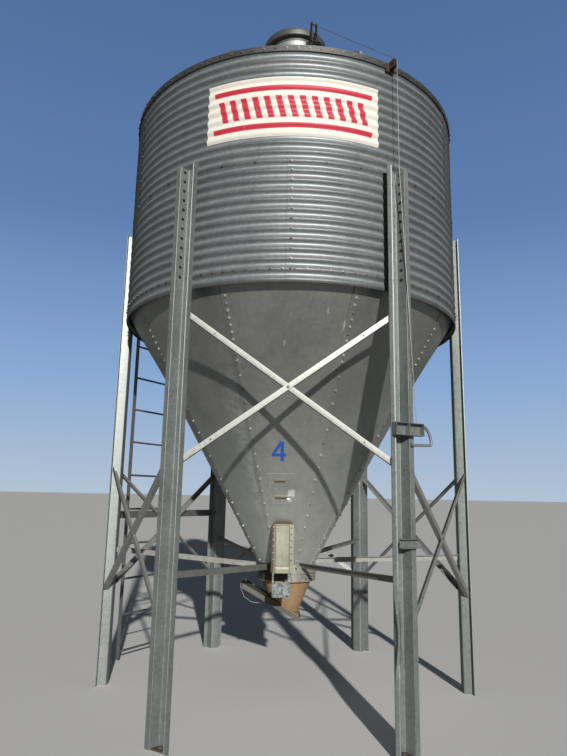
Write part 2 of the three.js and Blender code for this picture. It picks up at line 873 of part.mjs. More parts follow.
// Slide gate: a plate on ledges between two rails, with a bail of wire at its upper end
const railSheet = 4;
const gateLedge = -13;
const ledgeWidth = 14;
const ledgeSheet = 3;
const endBar = 5;
const plateClearance = 5;
const plateSheet = 3;
const plateOverhang = 14;
const crossBarWidth = 20;
const crossBarHeight = 14;
const plateLip = 16;
const bailWire = 6;
const bailSide = [
  [0, -3],
  [14, -32],
  [70, -78],
  [140, -86],
  [190, -66],
];
const bailFoot = [205, -60];
const bailCorner = 12;

function addGate() {
  const group = addGroup();
  const web = gateHalfWidth - railSheet;
  const length = [railUpperEnd, railLowerEnd];
  const width = [-web - 1, web + 1];
  const rails = [-1, 1].flatMap((side) => [
    gateBlock(length, onSide(side, web, gateHalfWidth), [-railHeight, 0]),
    gateBlock(length, onSide(side, web - ledgeWidth, web + 1), [gateLedge, gateLedge + ledgeSheet]),
  ]);
  const frame = joined([
    ...rails,
    gateBlock([railUpperEnd, railUpperEnd + crossBarWidth], width, [-railHeight, crossBarHeight - railHeight]),
    gateBlock([railLowerEnd - endBar, railLowerEnd], width, [-railHeight, 0]),
  ]);
  addPiece(group, "gate_frame", frame, material.brace);

  const plateBottom = gateLedge + ledgeSheet + gap;
  const plateHalf = web - plateClearance;
  const plateWidth = [-plateHalf, plateHalf];
  const plateEnds = [railUpperEnd - plateOverhang, railLowerEnd - endBar - plateClearance];
  const lipEnds = [plateEnds[0], plateEnds[0] + plateSheet + 1];
  const plate = joined([
    gateBlock(plateEnds, plateWidth, [plateBottom, plateBottom + plateSheet]),
    gateBlock(lipEnds, plateWidth, [plateBottom, plateBottom + plateLip]),
  ]);
  addPiece(group, "gate_plate", plate, material.brace);

  const outside = gateHalfWidth + plateClearance + bailWire / 2 + 1;
  const end = plateEnds[0] - bailWire / 2 - gap;
  const half = [
    [end, plateHalf - 8, bailSide[0][1]],
    ...bailSide.map(([x, z]) => [end + x, outside, z]),
    [end + bailFoot[0], outside - bailCorner, bailFoot[1]],
  ];
  const otherHalf = half.map(([x, y, z]) => [x, -y, z]);
  const points = [...otherHalf, ...half.reverse()].map((place) => new THREE.Vector3(...place));
  addPiece(group, "gate_pull_wire", onGate(rod(points, bailWire, 6)), material.dark);
}

addWall();
addHopper();
addRoof();
addFillNeck();
const frontRight = addGroup(legs.front_right);
addLidLever(frontRight);
addLidCable(frontRight);
addEavePulley(frontRight);
addPullBrackets(frontRight);
addLegs();
addBraces();
addStays();
addLadder();
addCollar();
addSideChute();
addChuteSlide();
addBoot();
addGate();

export default silo;
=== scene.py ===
# Galvanised bulk feed silo on six legs: bolted corrugated wall rings, a cone roof with a fill lid,
# a hopper of nine panels, and an outlet with a side chute, a boot and a slide gate.
# Metres, +Z up. An azimuth is in degrees round the silo's axis from the front, positive towards +X.
import math

import bmesh
import bpy
import numpy as np
from mathutils import Matrix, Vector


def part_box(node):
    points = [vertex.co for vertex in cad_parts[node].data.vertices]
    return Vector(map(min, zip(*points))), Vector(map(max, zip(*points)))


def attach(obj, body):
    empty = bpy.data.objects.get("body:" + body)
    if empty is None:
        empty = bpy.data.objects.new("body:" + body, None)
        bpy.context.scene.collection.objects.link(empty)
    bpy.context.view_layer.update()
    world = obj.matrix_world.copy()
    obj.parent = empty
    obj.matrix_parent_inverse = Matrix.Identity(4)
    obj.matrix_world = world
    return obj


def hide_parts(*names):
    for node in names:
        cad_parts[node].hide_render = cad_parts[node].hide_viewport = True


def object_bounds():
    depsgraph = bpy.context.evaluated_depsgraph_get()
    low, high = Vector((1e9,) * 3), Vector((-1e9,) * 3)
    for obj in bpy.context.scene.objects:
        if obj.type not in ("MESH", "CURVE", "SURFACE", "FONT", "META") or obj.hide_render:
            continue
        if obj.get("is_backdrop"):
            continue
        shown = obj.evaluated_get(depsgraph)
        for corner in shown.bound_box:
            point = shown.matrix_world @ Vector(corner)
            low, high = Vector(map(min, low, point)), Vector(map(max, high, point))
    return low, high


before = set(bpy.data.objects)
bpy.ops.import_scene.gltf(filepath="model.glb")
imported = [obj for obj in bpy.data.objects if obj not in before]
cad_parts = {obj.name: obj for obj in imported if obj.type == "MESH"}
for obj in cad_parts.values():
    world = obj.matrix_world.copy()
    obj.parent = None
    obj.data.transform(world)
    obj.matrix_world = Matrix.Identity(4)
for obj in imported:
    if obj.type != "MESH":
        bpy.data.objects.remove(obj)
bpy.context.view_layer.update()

# Camera: held at head height about five metres in front of the silo and tilted up to its lid.
# The focal length is in pixels of the photograph's frame, 567 by 756.
camera_place = (0.0314, -5.0317, 1.4505)
yaw, pitch, roll = -0.016604, 0.192066, 0.019291
focal_pixels, frame_height = 605.6, 756
film_height = 36
ahead = np.array([
    math.sin(yaw) * math.cos(pitch),
    math.cos(yaw) * math.cos(pitch),
    math.sin(pitch),
])
level = np.array([math.cos(yaw), -math.sin(yaw), 0.0])
above = np.cross(level, ahead)
across = math.cos(roll) * level + math.sin(roll) * above
upward = -math.sin(roll) * level + math.cos(roll) * above
camera = bpy.data.objects.new("camera", bpy.data.cameras.new("camera"))
bpy.context.collection.objects.link(camera)
camera.matrix_world = Matrix([
    (across[i], upward[i], -ahead[i], camera_place[i]) for i in range(3)
] + [(0, 0, 0, 1)])
camera.data.sensor_fit = "VERTICAL"
camera.data.sensor_height = film_height
camera.data.lens = film_height * focal_pixels / frame_height
camera.data.clip_end = 2000
bpy.context.scene.camera = camera

# Studio: a wide floor that is pale to the camera and throws less light on the silo, a low sun behind
# the camera's right shoulder, and a soft cool sky.
floor_reach = 900
floor_mesh = bpy.data.meshes.new("floor")
floor_mesh.from_pydata(
    [(x * floor_reach, y * floor_reach, 0) for x, y in ((-1, -1), (1, -1), (1, 1), (-1, 1))],
    [],
    [(0, 1, 2, 3)],
)
floor = bpy.data.objects.new("floor", floor_mesh)
bpy.context.collection.objects.link(floor)
floor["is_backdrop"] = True
floor_paint = bpy.data.materials.new("pale_floor")
floor_paint.use_nodes = True
floor_shader = floor_paint.node_tree.nodes["Principled BSDF"]
floor_shader.inputs["Roughness"].default_value = 0.9
floor_ray = floor_paint.node_tree.nodes.new("ShaderNodeLightPath")
floor_pick = floor_paint.node_tree.nodes.new("ShaderNodeMix")
floor_pick.data_type = "RGBA"
lit_floor, seen_floor = (0.34, 0.345, 0.35, 1), (0.66, 0.67, 0.69, 1)
floor_pick.inputs[6].default_value = lit_floor
floor_pick.inputs[7].default_value = seen_floor
floor_paint.node_tree.links.new(floor_ray.outputs["Is Camera Ray"], floor_pick.inputs[0])
floor_paint.node_tree.links.new(floor_pick.outputs[2], floor_shader.inputs["Base Color"])
floor_mesh.materials.append(floor_paint)

sun_azimuth, sun_elevation, sun_width = math.radians(11.5), math.radians(19.8), math.radians(1.2)
sun = bpy.data.objects.new("sun", bpy.data.lights.new("sun", "SUN"))
bpy.context.collection.objects.link(sun)
sun.rotation_euler = (math.pi / 2 - sun_elevation, 0, sun_azimuth)
sun.data.energy = 4.5
sun.data.angle = sun_width
sun.data.color = (1.0, 0.95, 0.88)

sky = bpy.data.worlds.new("studio_sky")
sky.use_nodes = True
bpy.context.scene.world = sky
sky_nodes, sky_links = sky.node_tree.nodes, sky.node_tree.links
sky_place = sky_nodes.new("ShaderNodeTexCoord")
sky_split = sky_nodes.new("ShaderNodeSeparateXYZ")
sky_links.new(sky_place.outputs["Generated"], sky_split.inputs[0])


def sky_ramp(tones):
    """A colour ramp over the sine of the elevation, from (sine, colour, strength) steps."""
    ramp = sky_nodes.new("ShaderNodeValToRGB")
    sky_links.new(sky_split.outputs["Z"], ramp.inputs["Fac"])
    while len(ramp.color_ramp.elements) < len(tones):
        ramp.color_ramp.elements.new(0.5)
    for element, (height, tone, strength) in zip(ramp.color_ramp.elements, tones):
        element.position = height
        element.color = (*(strength * channel for channel in tone), 1)
    return ramp.outputs["Color"]


haze, cool = (0.92, 0.97, 1.0), (0.55, 0.75, 1.0)
lighting_sky = sky_ramp([(0.0, haze, 0.12), (0.12, haze, 0.11), (0.32, haze, 0.09), (0.55, cool, 0.08),
                         (1.0, cool, 0.06)])
seen_sky = sky_ramp([(0.0, (0.44, 0.54, 0.66), 1), (0.18, (0.25, 0.40, 0.65), 1),
                     (0.42, (0.115, 0.215, 0.44), 1), (0.75, (0.07, 0.14, 0.30), 1)])
sky_ray = sky_nodes.new("ShaderNodeLightPath")
sky_pick = sky_nodes.new("ShaderNodeMix")
sky_pick.data_type = "RGBA"
sky_links.new(sky_ray.outputs["Is Camera Ray"], sky_pick.inputs[0])
sky_links.new(lighting_sky, sky_pick.inputs[6])
sky_links.new(seen_sky, sky_pick.inputs[7])
sky_links.new(sky_pick.outputs[2], sky_nodes["Background"].inputs["Color"])
bpy.context.scene.view_settings.view_transform = "Standard"

# Wall: two rings of three corrugated galvanised sheets, rolled round and bolted through their
# ridges. The upper ring laps outside the lower one, and each sheet laps over the one before it.
corrugation = 0.06915
wall_bottom, ring_seam = 2.8038, 3.6336
valley, ridge_height = 1.3535, 0.013
wave_start = wall_bottom + 0.005
wall_sheet = 0.0014
lap_reach, lap_lift, lap_fade = 1.3, 0.0017, 0.5


def wall_radius(z):
    """Radius of the wall's outer face: a cosine wave along the height, with its high points at the
    bolt rows and one wave for each corrugation."""
    return valley + ridge_height * (0.5 + 0.5 * np.cos(2 * np.pi * (z - wave_start) / corrugation))


def round_axis(azimuth, radius, z):
    """Points at an azimuth in degrees, a radius and a height, each a number or an array."""
    turn = np.radians(azimuth)
    x, y = radius * np.sin(turn), -radius * np.cos(turn)
    return np.stack(np.broadcast_arrays(x, y, z), -1)


def quads(ids, wrap_rows=False, wrap_columns=False):
    """Four-sided faces between neighbouring rows and columns of a table of point numbers."""
    if wrap_rows:
        ids = np.concatenate([ids, ids[:1]])
    if wrap_columns:
        ids = np.concatenate([ids, ids[:, :1]], axis=1)
    corners = [ids[:-1, :-1], ids[:-1, 1:], ids[1:, 1:], ids[1:, :-1]]
    return np.stack(corners, -1).reshape(-1, 4)


def skin(points, wrap_rows=False, wrap_columns=False, wear=0.0):
    """A grid of points (rows, columns, 3) as one face sheet. The column step crossed with the row
    step points outwards."""
    ids = np.arange(points.shape[0] * points.shape[1]).reshape(points.shape[:2])
    marks = np.broadcast_to(wear, points.shape[:2]).ravel()
    return points.reshape(-1, 3), quads(ids, wrap_rows, wrap_columns), marks


def outward(points, ring=False):
    """Unit normals of a grid: the column step crossed with the row step at each point."""
    wide = np.concatenate([points[:, -1:], points, points[:, :1]], axis=1) if ring else points
    over = np.gradient(wide, axis=1)
    over = over[:, 1:-1] if ring else over
    normal = np.cross(over, np.gradient(points, axis=0))
    return normal / np.maximum(np.linalg.norm(normal, axis=-1, keepdims=True), 1e-12)


def sheet(points, thickness, ring=False, wear=0.0):
    """A closed sheet: the grid is its outer face, the inner face lies one thickness under it along
    the grid's normals, and strips close the edges. A ring's last column joins its first one."""
    rows, columns = points.shape[:2]
    inner = points - thickness * outward(points, ring)
    top = np.arange(rows * columns).reshape(rows, columns)
    under = top + rows * columns
    faces = [
        quads(top, wrap_columns=ring),
        quads(under, wrap_columns=ring)[:, ::-1],
        quads(np.stack([under[0], top[0]]), wrap_columns=ring),
        quads(np.stack([top[-1], under[-1]]), wrap_columns=ring),
    ]
    if not ring:
        faces.append(quads(np.stack([under[:, 0], top[:, 0]], axis=1)))
        faces.append(quads(np.stack([top[:, -1], under[:, -1]], axis=1)))
    marks = np.broadcast_to(wear, (rows, columns)).ravel()
    both = np.concatenate([points.reshape(-1, 3), inner.reshape(-1, 3)])
    return both, np.concatenate(faces), np.concatenate([marks, marks])


def build(name, parts, material, nodes=(), body="silo", crease=32):
    """One object from parts of (points, faces, wear). Coinciding points are welded, which closes
    poles, and edges sharper than the crease angle stay sharp."""
    starts = np.cumsum([0] + [len(points) for points, _, _ in parts[:-1]])
    points = np.concatenate([part[0] for part in parts])
    faces = np.concatenate([part[1] + start for part, start in zip(parts, starts)])
    marks = np.concatenate([part[2] for part in parts])
    mesh = bpy.data.meshes.new(name)
    mesh.from_pydata(points.tolist(), [], faces.tolist())
    mesh.attributes.new("wear", "FLOAT", "POINT").data.foreach_set("value", marks.astype(float))
    work = bmesh.new()
    work.from_mesh(mesh)
    bmesh.ops.remove_doubles(work, verts=work.verts, dist=2e-6)
    bmesh.ops.dissolve_degenerate(work, edges=work.edges, dist=1e-7)
    work.to_mesh(mesh)
    work.free()
    mesh.shade_smooth()
    mesh.set_sharp_from_angle(angle=math.radians(crease))
    mesh.materials.append(material)
    made = bpy.data.objects.new(name, mesh)
    bpy.context.collection.objects.link(made)
    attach(made, body)
    if nodes:
        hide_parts(*nodes)
    return made


class Wiring:
    """Adds nodes to a tree in short lines; an input given as a socket is linked, else set."""

    def __init__(self, tree):
        self.tree = tree

    def add(self, kind, inputs=(), **settings):
        node = self.tree.nodes.new("ShaderNode" + kind)
        for key, value in settings.items():
            setattr(node, key, value)
        for key, value in dict(inputs).items():
            if isinstance(value, bpy.types.NodeSocket):
                self.tree.links.new(value, node.inputs[key])
            else:
                node.inputs[key].default_value = value
        return node

    def math(self, operation, *values, clamp=False):
        node = self.add("Math", enumerate(values), operation=operation, use_clamp=clamp)
        return node.outputs[0]

    def ramp(self, value, low, high):
        node = self.add("MapRange", {"Value": value, "From Min": low, "From Max": high})
        return node.outputs[0]

    def mix(self, factor, first, second, blend="MIX"):
        node = self.add("Mix", data_type="RGBA", blend_type=blend)
        for key, value in ((0, factor), (6, first), (7, second)):
            if isinstance(value, bpy.types.NodeSocket):
                self.tree.links.new(value, node.inputs[key])
            else:
                node.inputs[key].default_value = value
        return node.outputs[2]

    def noise(self, place, scale, detail=3.0, rough=0.55):
        values = {"Vector": place, "Scale": scale, "Detail": detail, "Roughness": rough}
        return self.add("TexNoise", values).outputs["Fac"]

    def stretched(self, place, scale):
        return self.add("Mapping", {"Vector": place, "Scale": scale}).outputs[0]


def effect(name, inputs, outputs):
    """A new shader node group with named float, colour or vector sockets."""
    tree = bpy.data.node_groups.new(name, "ShaderNodeTree")
    for direction, sockets in (("INPUT", inputs), ("OUTPUT", outputs)):
        for socket, kind in sockets.items():
            tree.interface.new_socket(socket, in_out=direction, socket_type="NodeSocket" + kind)
    wiring = Wiring(tree)
    start = tree.nodes.new("NodeGroupInput").outputs
    end = tree.nodes.new("NodeGroupOutput").inputs
    return tree, wiring, start, end


# Weathered zinc: crystals of slightly different grey, cloudy white bloom, grime that runs down,
# fine pits, and brown rust where the wear mark and a coarse noise agree. A wear mark below nought
# is a pale tone instead: a real smear of paint, or painted sheen.
zinc_group, w, start, end = effect(
    "weathered_zinc",
    {"Light": "Color", "Dark": "Color", "Crystal": "Float", "Cloud": "Float", "Streak": "Float",
     "Rust": "Float"},
    {"Color": "Color", "Roughness": "Float", "Height": "Float", "Metal": "Float"},
)
place = w.add("TexCoord").outputs["Object"]
crystal = w.add("TexVoronoi", {"Vector": place, "Scale": 75.0, "Randomness": 1.0})
crystal_tone = w.add("SeparateColor", {"Color": crystal.outputs["Color"]}).outputs[0]
cloud = w.noise(place, 2.6, 5.0, 0.62)
bloom = w.noise(place, 23.0, 4.0, 0.65)
runs = w.noise(w.stretched(place, (16.0, 16.0, 0.9)), 1.0, 4.0, 0.6)
grain = w.noise(place, 420.0, 2.0, 0.5)
blend = w.math("ADD", 0.5, w.math("MULTIPLY", start["Crystal"], w.math("SUBTRACT", crystal_tone, 0.5)))
blend = w.math("ADD", blend, w.math("MULTIPLY", start["Cloud"], w.math("SUBTRACT", cloud, 0.5)))
bloomed = w.math("MULTIPLY", start["Cloud"], 0.6)
blend = w.math("ADD", blend, w.math("MULTIPLY", bloomed, w.math("SUBTRACT", bloom, 0.5)))
blend = w.math("ADD", blend, w.math("MULTIPLY", start["Streak"], w.math("SUBTRACT", runs, 0.5)))
zinc_tone = w.mix(w.math("ADD", blend, 0.0, clamp=True), start["Dark"], start["Light"])
grime_brown, smear_and_sheen_tone = (0.060, 0.052, 0.040, 1), (0.66, 0.70, 0.70, 1)
dark_rust, light_rust = (0.024, 0.014, 0.009, 1), (0.095, 0.054, 0.028, 1)
grime = w.math("MULTIPLY", w.ramp(runs, 0.60, 0.82), start["Streak"], clamp=True)
zinc_tone = w.mix(w.math("MULTIPLY", grime, 0.55), zinc_tone, grime_brown)
mark = w.add("Attribute", attribute_name="wear").outputs["Fac"]
rusted = w.math("MULTIPLY", w.ramp(w.math("ADD", bloom, w.math("MULTIPLY", mark, 0.45)), 0.62, 0.80), mark)
rusted = w.math("MULTIPLY", rusted, start["Rust"], clamp=True)
# Below nought the mark mixes in a pale tone: real smears of paint, and painted sheen.
smear_and_sheen = w.math("MULTIPLY", w.math("MULTIPLY", mark, -1.6), w.ramp(bloom, 0.34, 0.56), clamp=True)
zinc_tone = w.mix(smear_and_sheen, zinc_tone, smear_and_sheen_tone)
rust_tone = w.mix(bloom, dark_rust, light_rust)
w.tree.links.new(w.mix(rusted, zinc_tone, rust_tone), end["Color"])
rough = w.math("ADD", 0.36, w.math("MULTIPLY", 0.20, cloud))
rough = w.math("ADD", rough, w.math("MULTIPLY", 0.07, crystal_tone))
w.tree.links.new(w.math("ADD", rough, w.math("MULTIPLY", 0.40, rusted)), end["Roughness"])
relief = w.math("ADD", w.math("MULTIPLY", crystal_tone, 0.22), w.math("MULTIPLY", grain, 0.35))
w.tree.links.new(w.math("ADD", relief, w.math("MULTIPLY", bloom, 0.6)), end["Height"])
w.tree.links.new(w.math("SUBTRACT", 1.0, w.math("MULTIPLY", 0.95, rusted)), end["Metal"])


def new_finish(name):
    """A new material with its wiring and its shader."""
    material = bpy.data.materials.new(name)
    material.use_nodes = True
    return material, Wiring(material.node_tree), material.node_tree.nodes["Principled BSDF"]


def zinc(name, light, dark, crystal=0.35, cloud=0.9, streak=0.5, rust=1.0, metal=0.55, relief=0.0004):
    """A galvanised finish: the shared weathered zinc with its own two greys and amounts."""
    material, w, shader = new_finish(name)
    group = w.add("Group", node_tree=zinc_group)
    amounts = {"Light": (*light, 1), "Dark": (*dark, 1), "Crystal": crystal, "Cloud": cloud,
               "Streak": streak, "Rust": rust}
    for key, value in amounts.items():
        group.inputs[key].default_value = value
    w.tree.links.new(group.outputs["Color"], shader.inputs["Base Color"])
    w.tree.links.new(group.outputs["Roughness"], shader.inputs["Roughness"])
    w.tree.links.new(w.math("MULTIPLY", group.outputs["Metal"], metal), shader.inputs["Metallic"])
    bump = w.add("Bump", {"Height": group.outputs["Height"], "Distance": relief, "Strength": 1.0})
    w.tree.links.new(bump.outputs["Normal"], shader.inputs["Normal"])
    return material


def wiring_of(material):
    """The wiring of a finish, the place on the piece as a vector, and the same as x, y and z."""
    w = Wiring(material.node_tree)
    place = w.add("TexCoord").outputs["Object"]
    return w, place, w.add("SeparateXYZ", {"Vector": place}).outputs


def multiply_tone(w, factor):
    """Darken or brighten a finish: its colour is multiplied by the factor."""
    base = w.tree.nodes["Principled BSDF"].inputs["Base Color"]
    w.tree.links.new(w.mix(1.0, base.links[0].from_socket, factor, blend="MULTIPLY"), base)


def wall_sheet_points(azimuths, heights, low_lap, seam_lift):
    """Grid over the wall: the corrugated radius, a slow waviness of about a millimetre, the lift of
    an upright lap, which fades out past its edge line, and that of the upper ring's foot, which
    fades out above the ring seam."""
    azimuth, z = np.meshgrid(azimuths, heights)
    turn = np.radians(azimuth)
    wave = 0.0006 * np.sin(turn * 9 + 5 * z) + 0.0005 * np.sin(turn * 23 - 11 * z)
    lifted = lap_lift * np.clip((low_lap - azimuth) / lap_fade + 1, 0, 1)
    lifted = lifted + seam_lift * np.clip((seam_lap_top - z) / 0.02, 0, 1)
    return round_axis(azimuth, wall_radius(z) + wave + lifted, z)


seam_lap_top = 3.668
wall_zinc = zinc("wall_zinc", (0.315, 0.352, 0.368), (0.175, 0.204, 0.218), crystal=0.25, cloud=0.8,
                 streak=0.45, metal=0.55)
# Painted light and shade: the upper flanks of the corrugations are painted lighter and the flanks under the
# ridges darker, as the sky and sun would light them.
w, place, (_, _, height) = wiring_of(wall_zinc)
painted_light_height = wave_start + 0.4 * corrugation
phase = w.math("MULTIPLY", w.math("SUBTRACT", height, painted_light_height), 2 * math.pi / corrugation)
multiply_tone(w, w.math("ADD", 0.80, w.math("MULTIPLY", 0.30, w.math("COSINE", phase))))
waves = np.linspace(0, 12, 145)
rolled_edge = np.array([-0.18, -0.12, -0.06])
lower_heights = wall_bottom + corrugation * np.concatenate([rolled_edge, waves])
upper_heights = ring_seam + corrugation * waves
tucked = np.concatenate([lower_heights, ring_seam + np.linspace(0.003, 0.018, 4)])
lapping = np.concatenate([ring_seam - np.linspace(0.024, 0.003, 5), upper_heights])
wall_rings = {
    "lower": (tucked, 0.0, {"left": -120, "right": 0, "back": 120}),
    "upper": (lapping, lap_lift, {"front": -60, "right": 60, "left": 180}),
}
for ring_name, (heights, seam_lift, sheets) in wall_rings.items():
    for side, first in sheets.items():
        lap = first - lap_reach + np.array([0, 0.12, 0.5, 0.9])
        azimuths = np.concatenate([lap, np.linspace(first, first + 120, 61), [first + 120 + lap_reach]])
        points = wall_sheet_points(azimuths, heights, first + lap_reach, seam_lift)
        edge = np.exp(-np.abs(azimuths - azimuths[0]) / 0.25)[None, :]
        edge = np.maximum(edge, np.exp(-np.abs(heights - heights[0]) / 0.006)[:, None])
        name = f"wall_{ring_name}_{side}"
        build(f"{name}_sheet", [sheet(points, wall_sheet, wear=0.55 * edge)], wall_zinc,
              [name])

# Wall bolts: zinc-plated hexagon heads on round washers, in rings through the ridges near the foot
# and at the ring seam, and up each upright seam. Some have started to rust.
bolt_washer, bolt_head, bolt_rise = 0.0095, 0.0070, 0.0065
bolt_random = np.random.default_rng(4)


def bolts(centres, normals, size=1.0, wear=None):
    """Hexagon bolt heads: rings of twelve points for the washer and the head, closed on the axis,
    turned at random about each normal."""
    centres = np.asarray(centres, float).reshape(-1, 3)
    normals = np.broadcast_to(np.asarray(normals, float), centres.shape)
    normals = normals / np.linalg.norm(normals, axis=1, keepdims=True)
    turn = np.arange(12) * np.pi / 6
    flats = np.where(np.arange(12) % 2, math.cos(math.pi / 6), 1.0)
    disc = np.ones(12)
    rings = [
        (0.0, disc, -0.001), (bolt_washer, disc, -0.001),
        (bolt_washer, disc, 0.0016), (bolt_head, flats, 0.0020),
        (bolt_head * 0.94, flats, bolt_rise), (0.0, flats, bolt_rise + 0.0006),
    ]
    radius = np.stack([r * shape for r, shape, _ in rings])
    height = np.array([h for _, _, h in rings])[:, None]
    local = np.stack([radius * np.cos(turn), radius * np.sin(turn), height + 0 * radius], -1) * size
    spin = bolt_random.uniform(0, np.pi / 3, len(centres))
    reference = np.where(np.abs(normals[:, 2:3]) > 0.9, [[1.0, 0.0, 0.0]], [[0.0, 0.0, 1.0]])
    first = np.cross(reference, normals)
    first /= np.linalg.norm(first, axis=1, keepdims=True)
    second = np.cross(normals, first)
    turned_first = first * np.cos(spin)[:, None] + second * np.sin(spin)[:, None]
    turned_second = np.cross(normals, turned_first)
    axes = np.stack([turned_first, turned_second, normals], 1)
    points = centres[:, None, None] + np.einsum("rck,nkx->nrcx", local, axes)
    each = 12 * len(rings)
    table = quads(np.arange(each).reshape(-1, 12), wrap_columns=True)
    faces = table[None] + each * np.arange(len(centres))[:, None, None]
    marks = bolt_random.uniform(0, 1, len(centres)) ** 2 if wear is None else np.full(len(centres), wear)
    return points.reshape(-1, 3), faces.reshape(-1, 4), np.repeat(marks, each)


def ring_bolts(azimuths, radius, z, size=1.0, wear=None):
    """Bolts that point straight out from the axis at azimuths, one radius and one or more heights."""
    azimuths, z = np.broadcast_arrays(azimuths, z)
    return bolts(round_axis(azimuths, radius, z), round_axis(azimuths, 1.0, 0.0 * z), size, wear)


bolt_zinc = zinc("bolt_zinc", (0.25, 0.26, 0.25), (0.07, 0.073, 0.07), crystal=0.1, streak=0.0, rust=0.7,
                 metal=0.85)
close_ring = np.arange(108) * 360 / 108 + 1.2
wide_ring = np.arange(36) * 10.0 - 0.3
ridge = valley + ridge_height
# The legs cover the wall's bolts at every 60 degrees from 30 on.
beside_legs = [ring[np.abs(ring % 60 - 30) > 2] for ring in (close_ring, wide_ring)]
seam_ridges = np.arange(1, 12) * corrugation + wave_start - wall_bottom
wall_bolts = [
    ring_bolts(beside_legs[0], ridge + 0.0002, wave_start + corrugation),
    ring_bolts(beside_legs[1], ridge + 0.0018, ring_seam),
]
for first in (0.05, 120.05, 240.05):
    wall_bolts.append(ring_bolts(first, ridge + lap_lift, wall_bottom + seam_ridges))
    wall_bolts.append(ring_bolts(first + 60, ridge + lap_lift, ring_seam + seam_ridges))
build("wall_bolts", wall_bolts, bolt_zinc)

# Hopper: nine flat-rolled panels at 60 degrees, lapped and bolted down their seams, with an upright
# rim bolted inside the wall's foot. Dull, dirty zinc with creases, a patch and rust at the top.
hopper_bottom, hopper_foot = 0.935, 0.2298
hopper_top, hopper_rim, rim_radius = 2.862, 2.898, 1.3493
hopper_run = math.tan(math.radians(30))
hopper_sheet, hopper_inset, hopper_lap = 0.0025, 0.0028, 0.0017
hopper_panels, panel_turn = 9, 40.0


def hopper_radius(z):
    """Radius of the plain cone: it widens evenly from the hopper's foot."""
    return hopper_foot + (z - hopper_bottom) * hopper_run


def flatness(azimuth, z):
    """Share of the cone's radius: each panel was rolled too little, so it lies part of the way towards
    the straight line between its seams, but is round where it meets the wall and the collar."""
    half = panel_turn / 2
    inside = np.radians((azimuth + half) % panel_turn - half)
    upper, lower = np.clip((2.86 - z) / 0.6, 0, 1), np.clip((z - 0.95) / 0.3, 0, 1)
    share = 0.45 * upper ** 2 * (3 - 2 * upper) * lower ** 2 * (3 - 2 * lower)
    return 1 - share * (1 - math.cos(math.radians(half)) / np.cos(inside))


# Each crease: middle and half width in degrees, height, depth. Each smear of paint: middle, height,
# half width, half height, strength.
creases = ((-5.6, 4.6, 1.550, 0.004), (-4.6, 6.6, 1.432, 0.006))
patch_middle, patch_half, patch_low, patch_high = -5.0, 10.2, 1.385, 1.610
smears = ((3.4, 1.465, 2.6, 0.030, 1.0), (2.4, 1.425, 2.0, 0.02, 0.8), (-1.6, 2.455, 0.55, 0.02, 0.5),
          (0.3, 2.63, 0.4, 0.012, 0.5), (12.0, 2.65, 0.35, 0.02, 0.7), (18.2, 2.58, 0.4, 0.03, 0.8))


def bell(value, middle, half):
    """One at the middle, falling to 0.37 at half on either side: exp of minus the square."""
    return np.exp(-((value - middle) / half) ** 2)


def dents(azimuth, z):
    """Depth of the hopper's dents: two level creases over the chute, each a narrow groove that
    fades at its ends, a thin patch round them, one broad hollow, and slow waves all over."""
    depth = 0.0010 * np.sin(np.radians(azimuth) * 7 + 2.1 * z) * np.sin(3.1 * z + 0.6)
    for middle, half, height, deep in creases:
        along = 1 / (1 + ((azimuth - middle) / half) ** 8)
        depth = depth - deep * along * bell(z, height, 0.004)
        depth = depth + 0.4 * deep * along * bell(z, height + 0.012, 0.008)
    patch = np.clip((patch_half - np.abs(azimuth - patch_middle)) / 0.25, 0, 1)
    patch = patch * np.clip((z - patch_low) / 0.002, 0, 1) * np.clip((patch_high - z) / 0.002, 0, 1)
    return depth + 0.0012 * patch - 0.004 * bell(azimuth, 2, 9) * bell(z, 1.49, 0.05)


def crease_marks(azimuth, z):
    """Marks on the front panel: dark rust colour in the creases, which is painted shade, rust along the
    patch's left edge, and a pale smear of zinc paint over the patch's right end and in four small spots."""
    marks = 0.0 * azimuth
    for middle, half, height, _ in creases:
        along = 1 / (1 + ((azimuth - middle) / half) ** 8)
        # Painted shade in each crease, in the colour of dark rust.
        marks = np.maximum(marks, 1.3 * along * bell(z, height - 0.002, 0.008))
    marks = np.maximum(marks, bell(azimuth, patch_middle - patch_half, 0.5) * bell(z, 1.52, 0.035))
    for spot, height, wide, tall, strength in smears:
        blot = strength * np.exp(-((azimuth - spot) / wide) ** 4 - ((z - height) / tall) ** 4)
        marks = np.where(blot > 0.1, -blot, marks)
    return marks


hopper_zinc = zinc("hopper_zinc", (0.380, 0.400, 0.380), (0.235, 0.252, 0.240), crystal=0.10, cloud=0.9,
                   streak=0.55, metal=0.75)
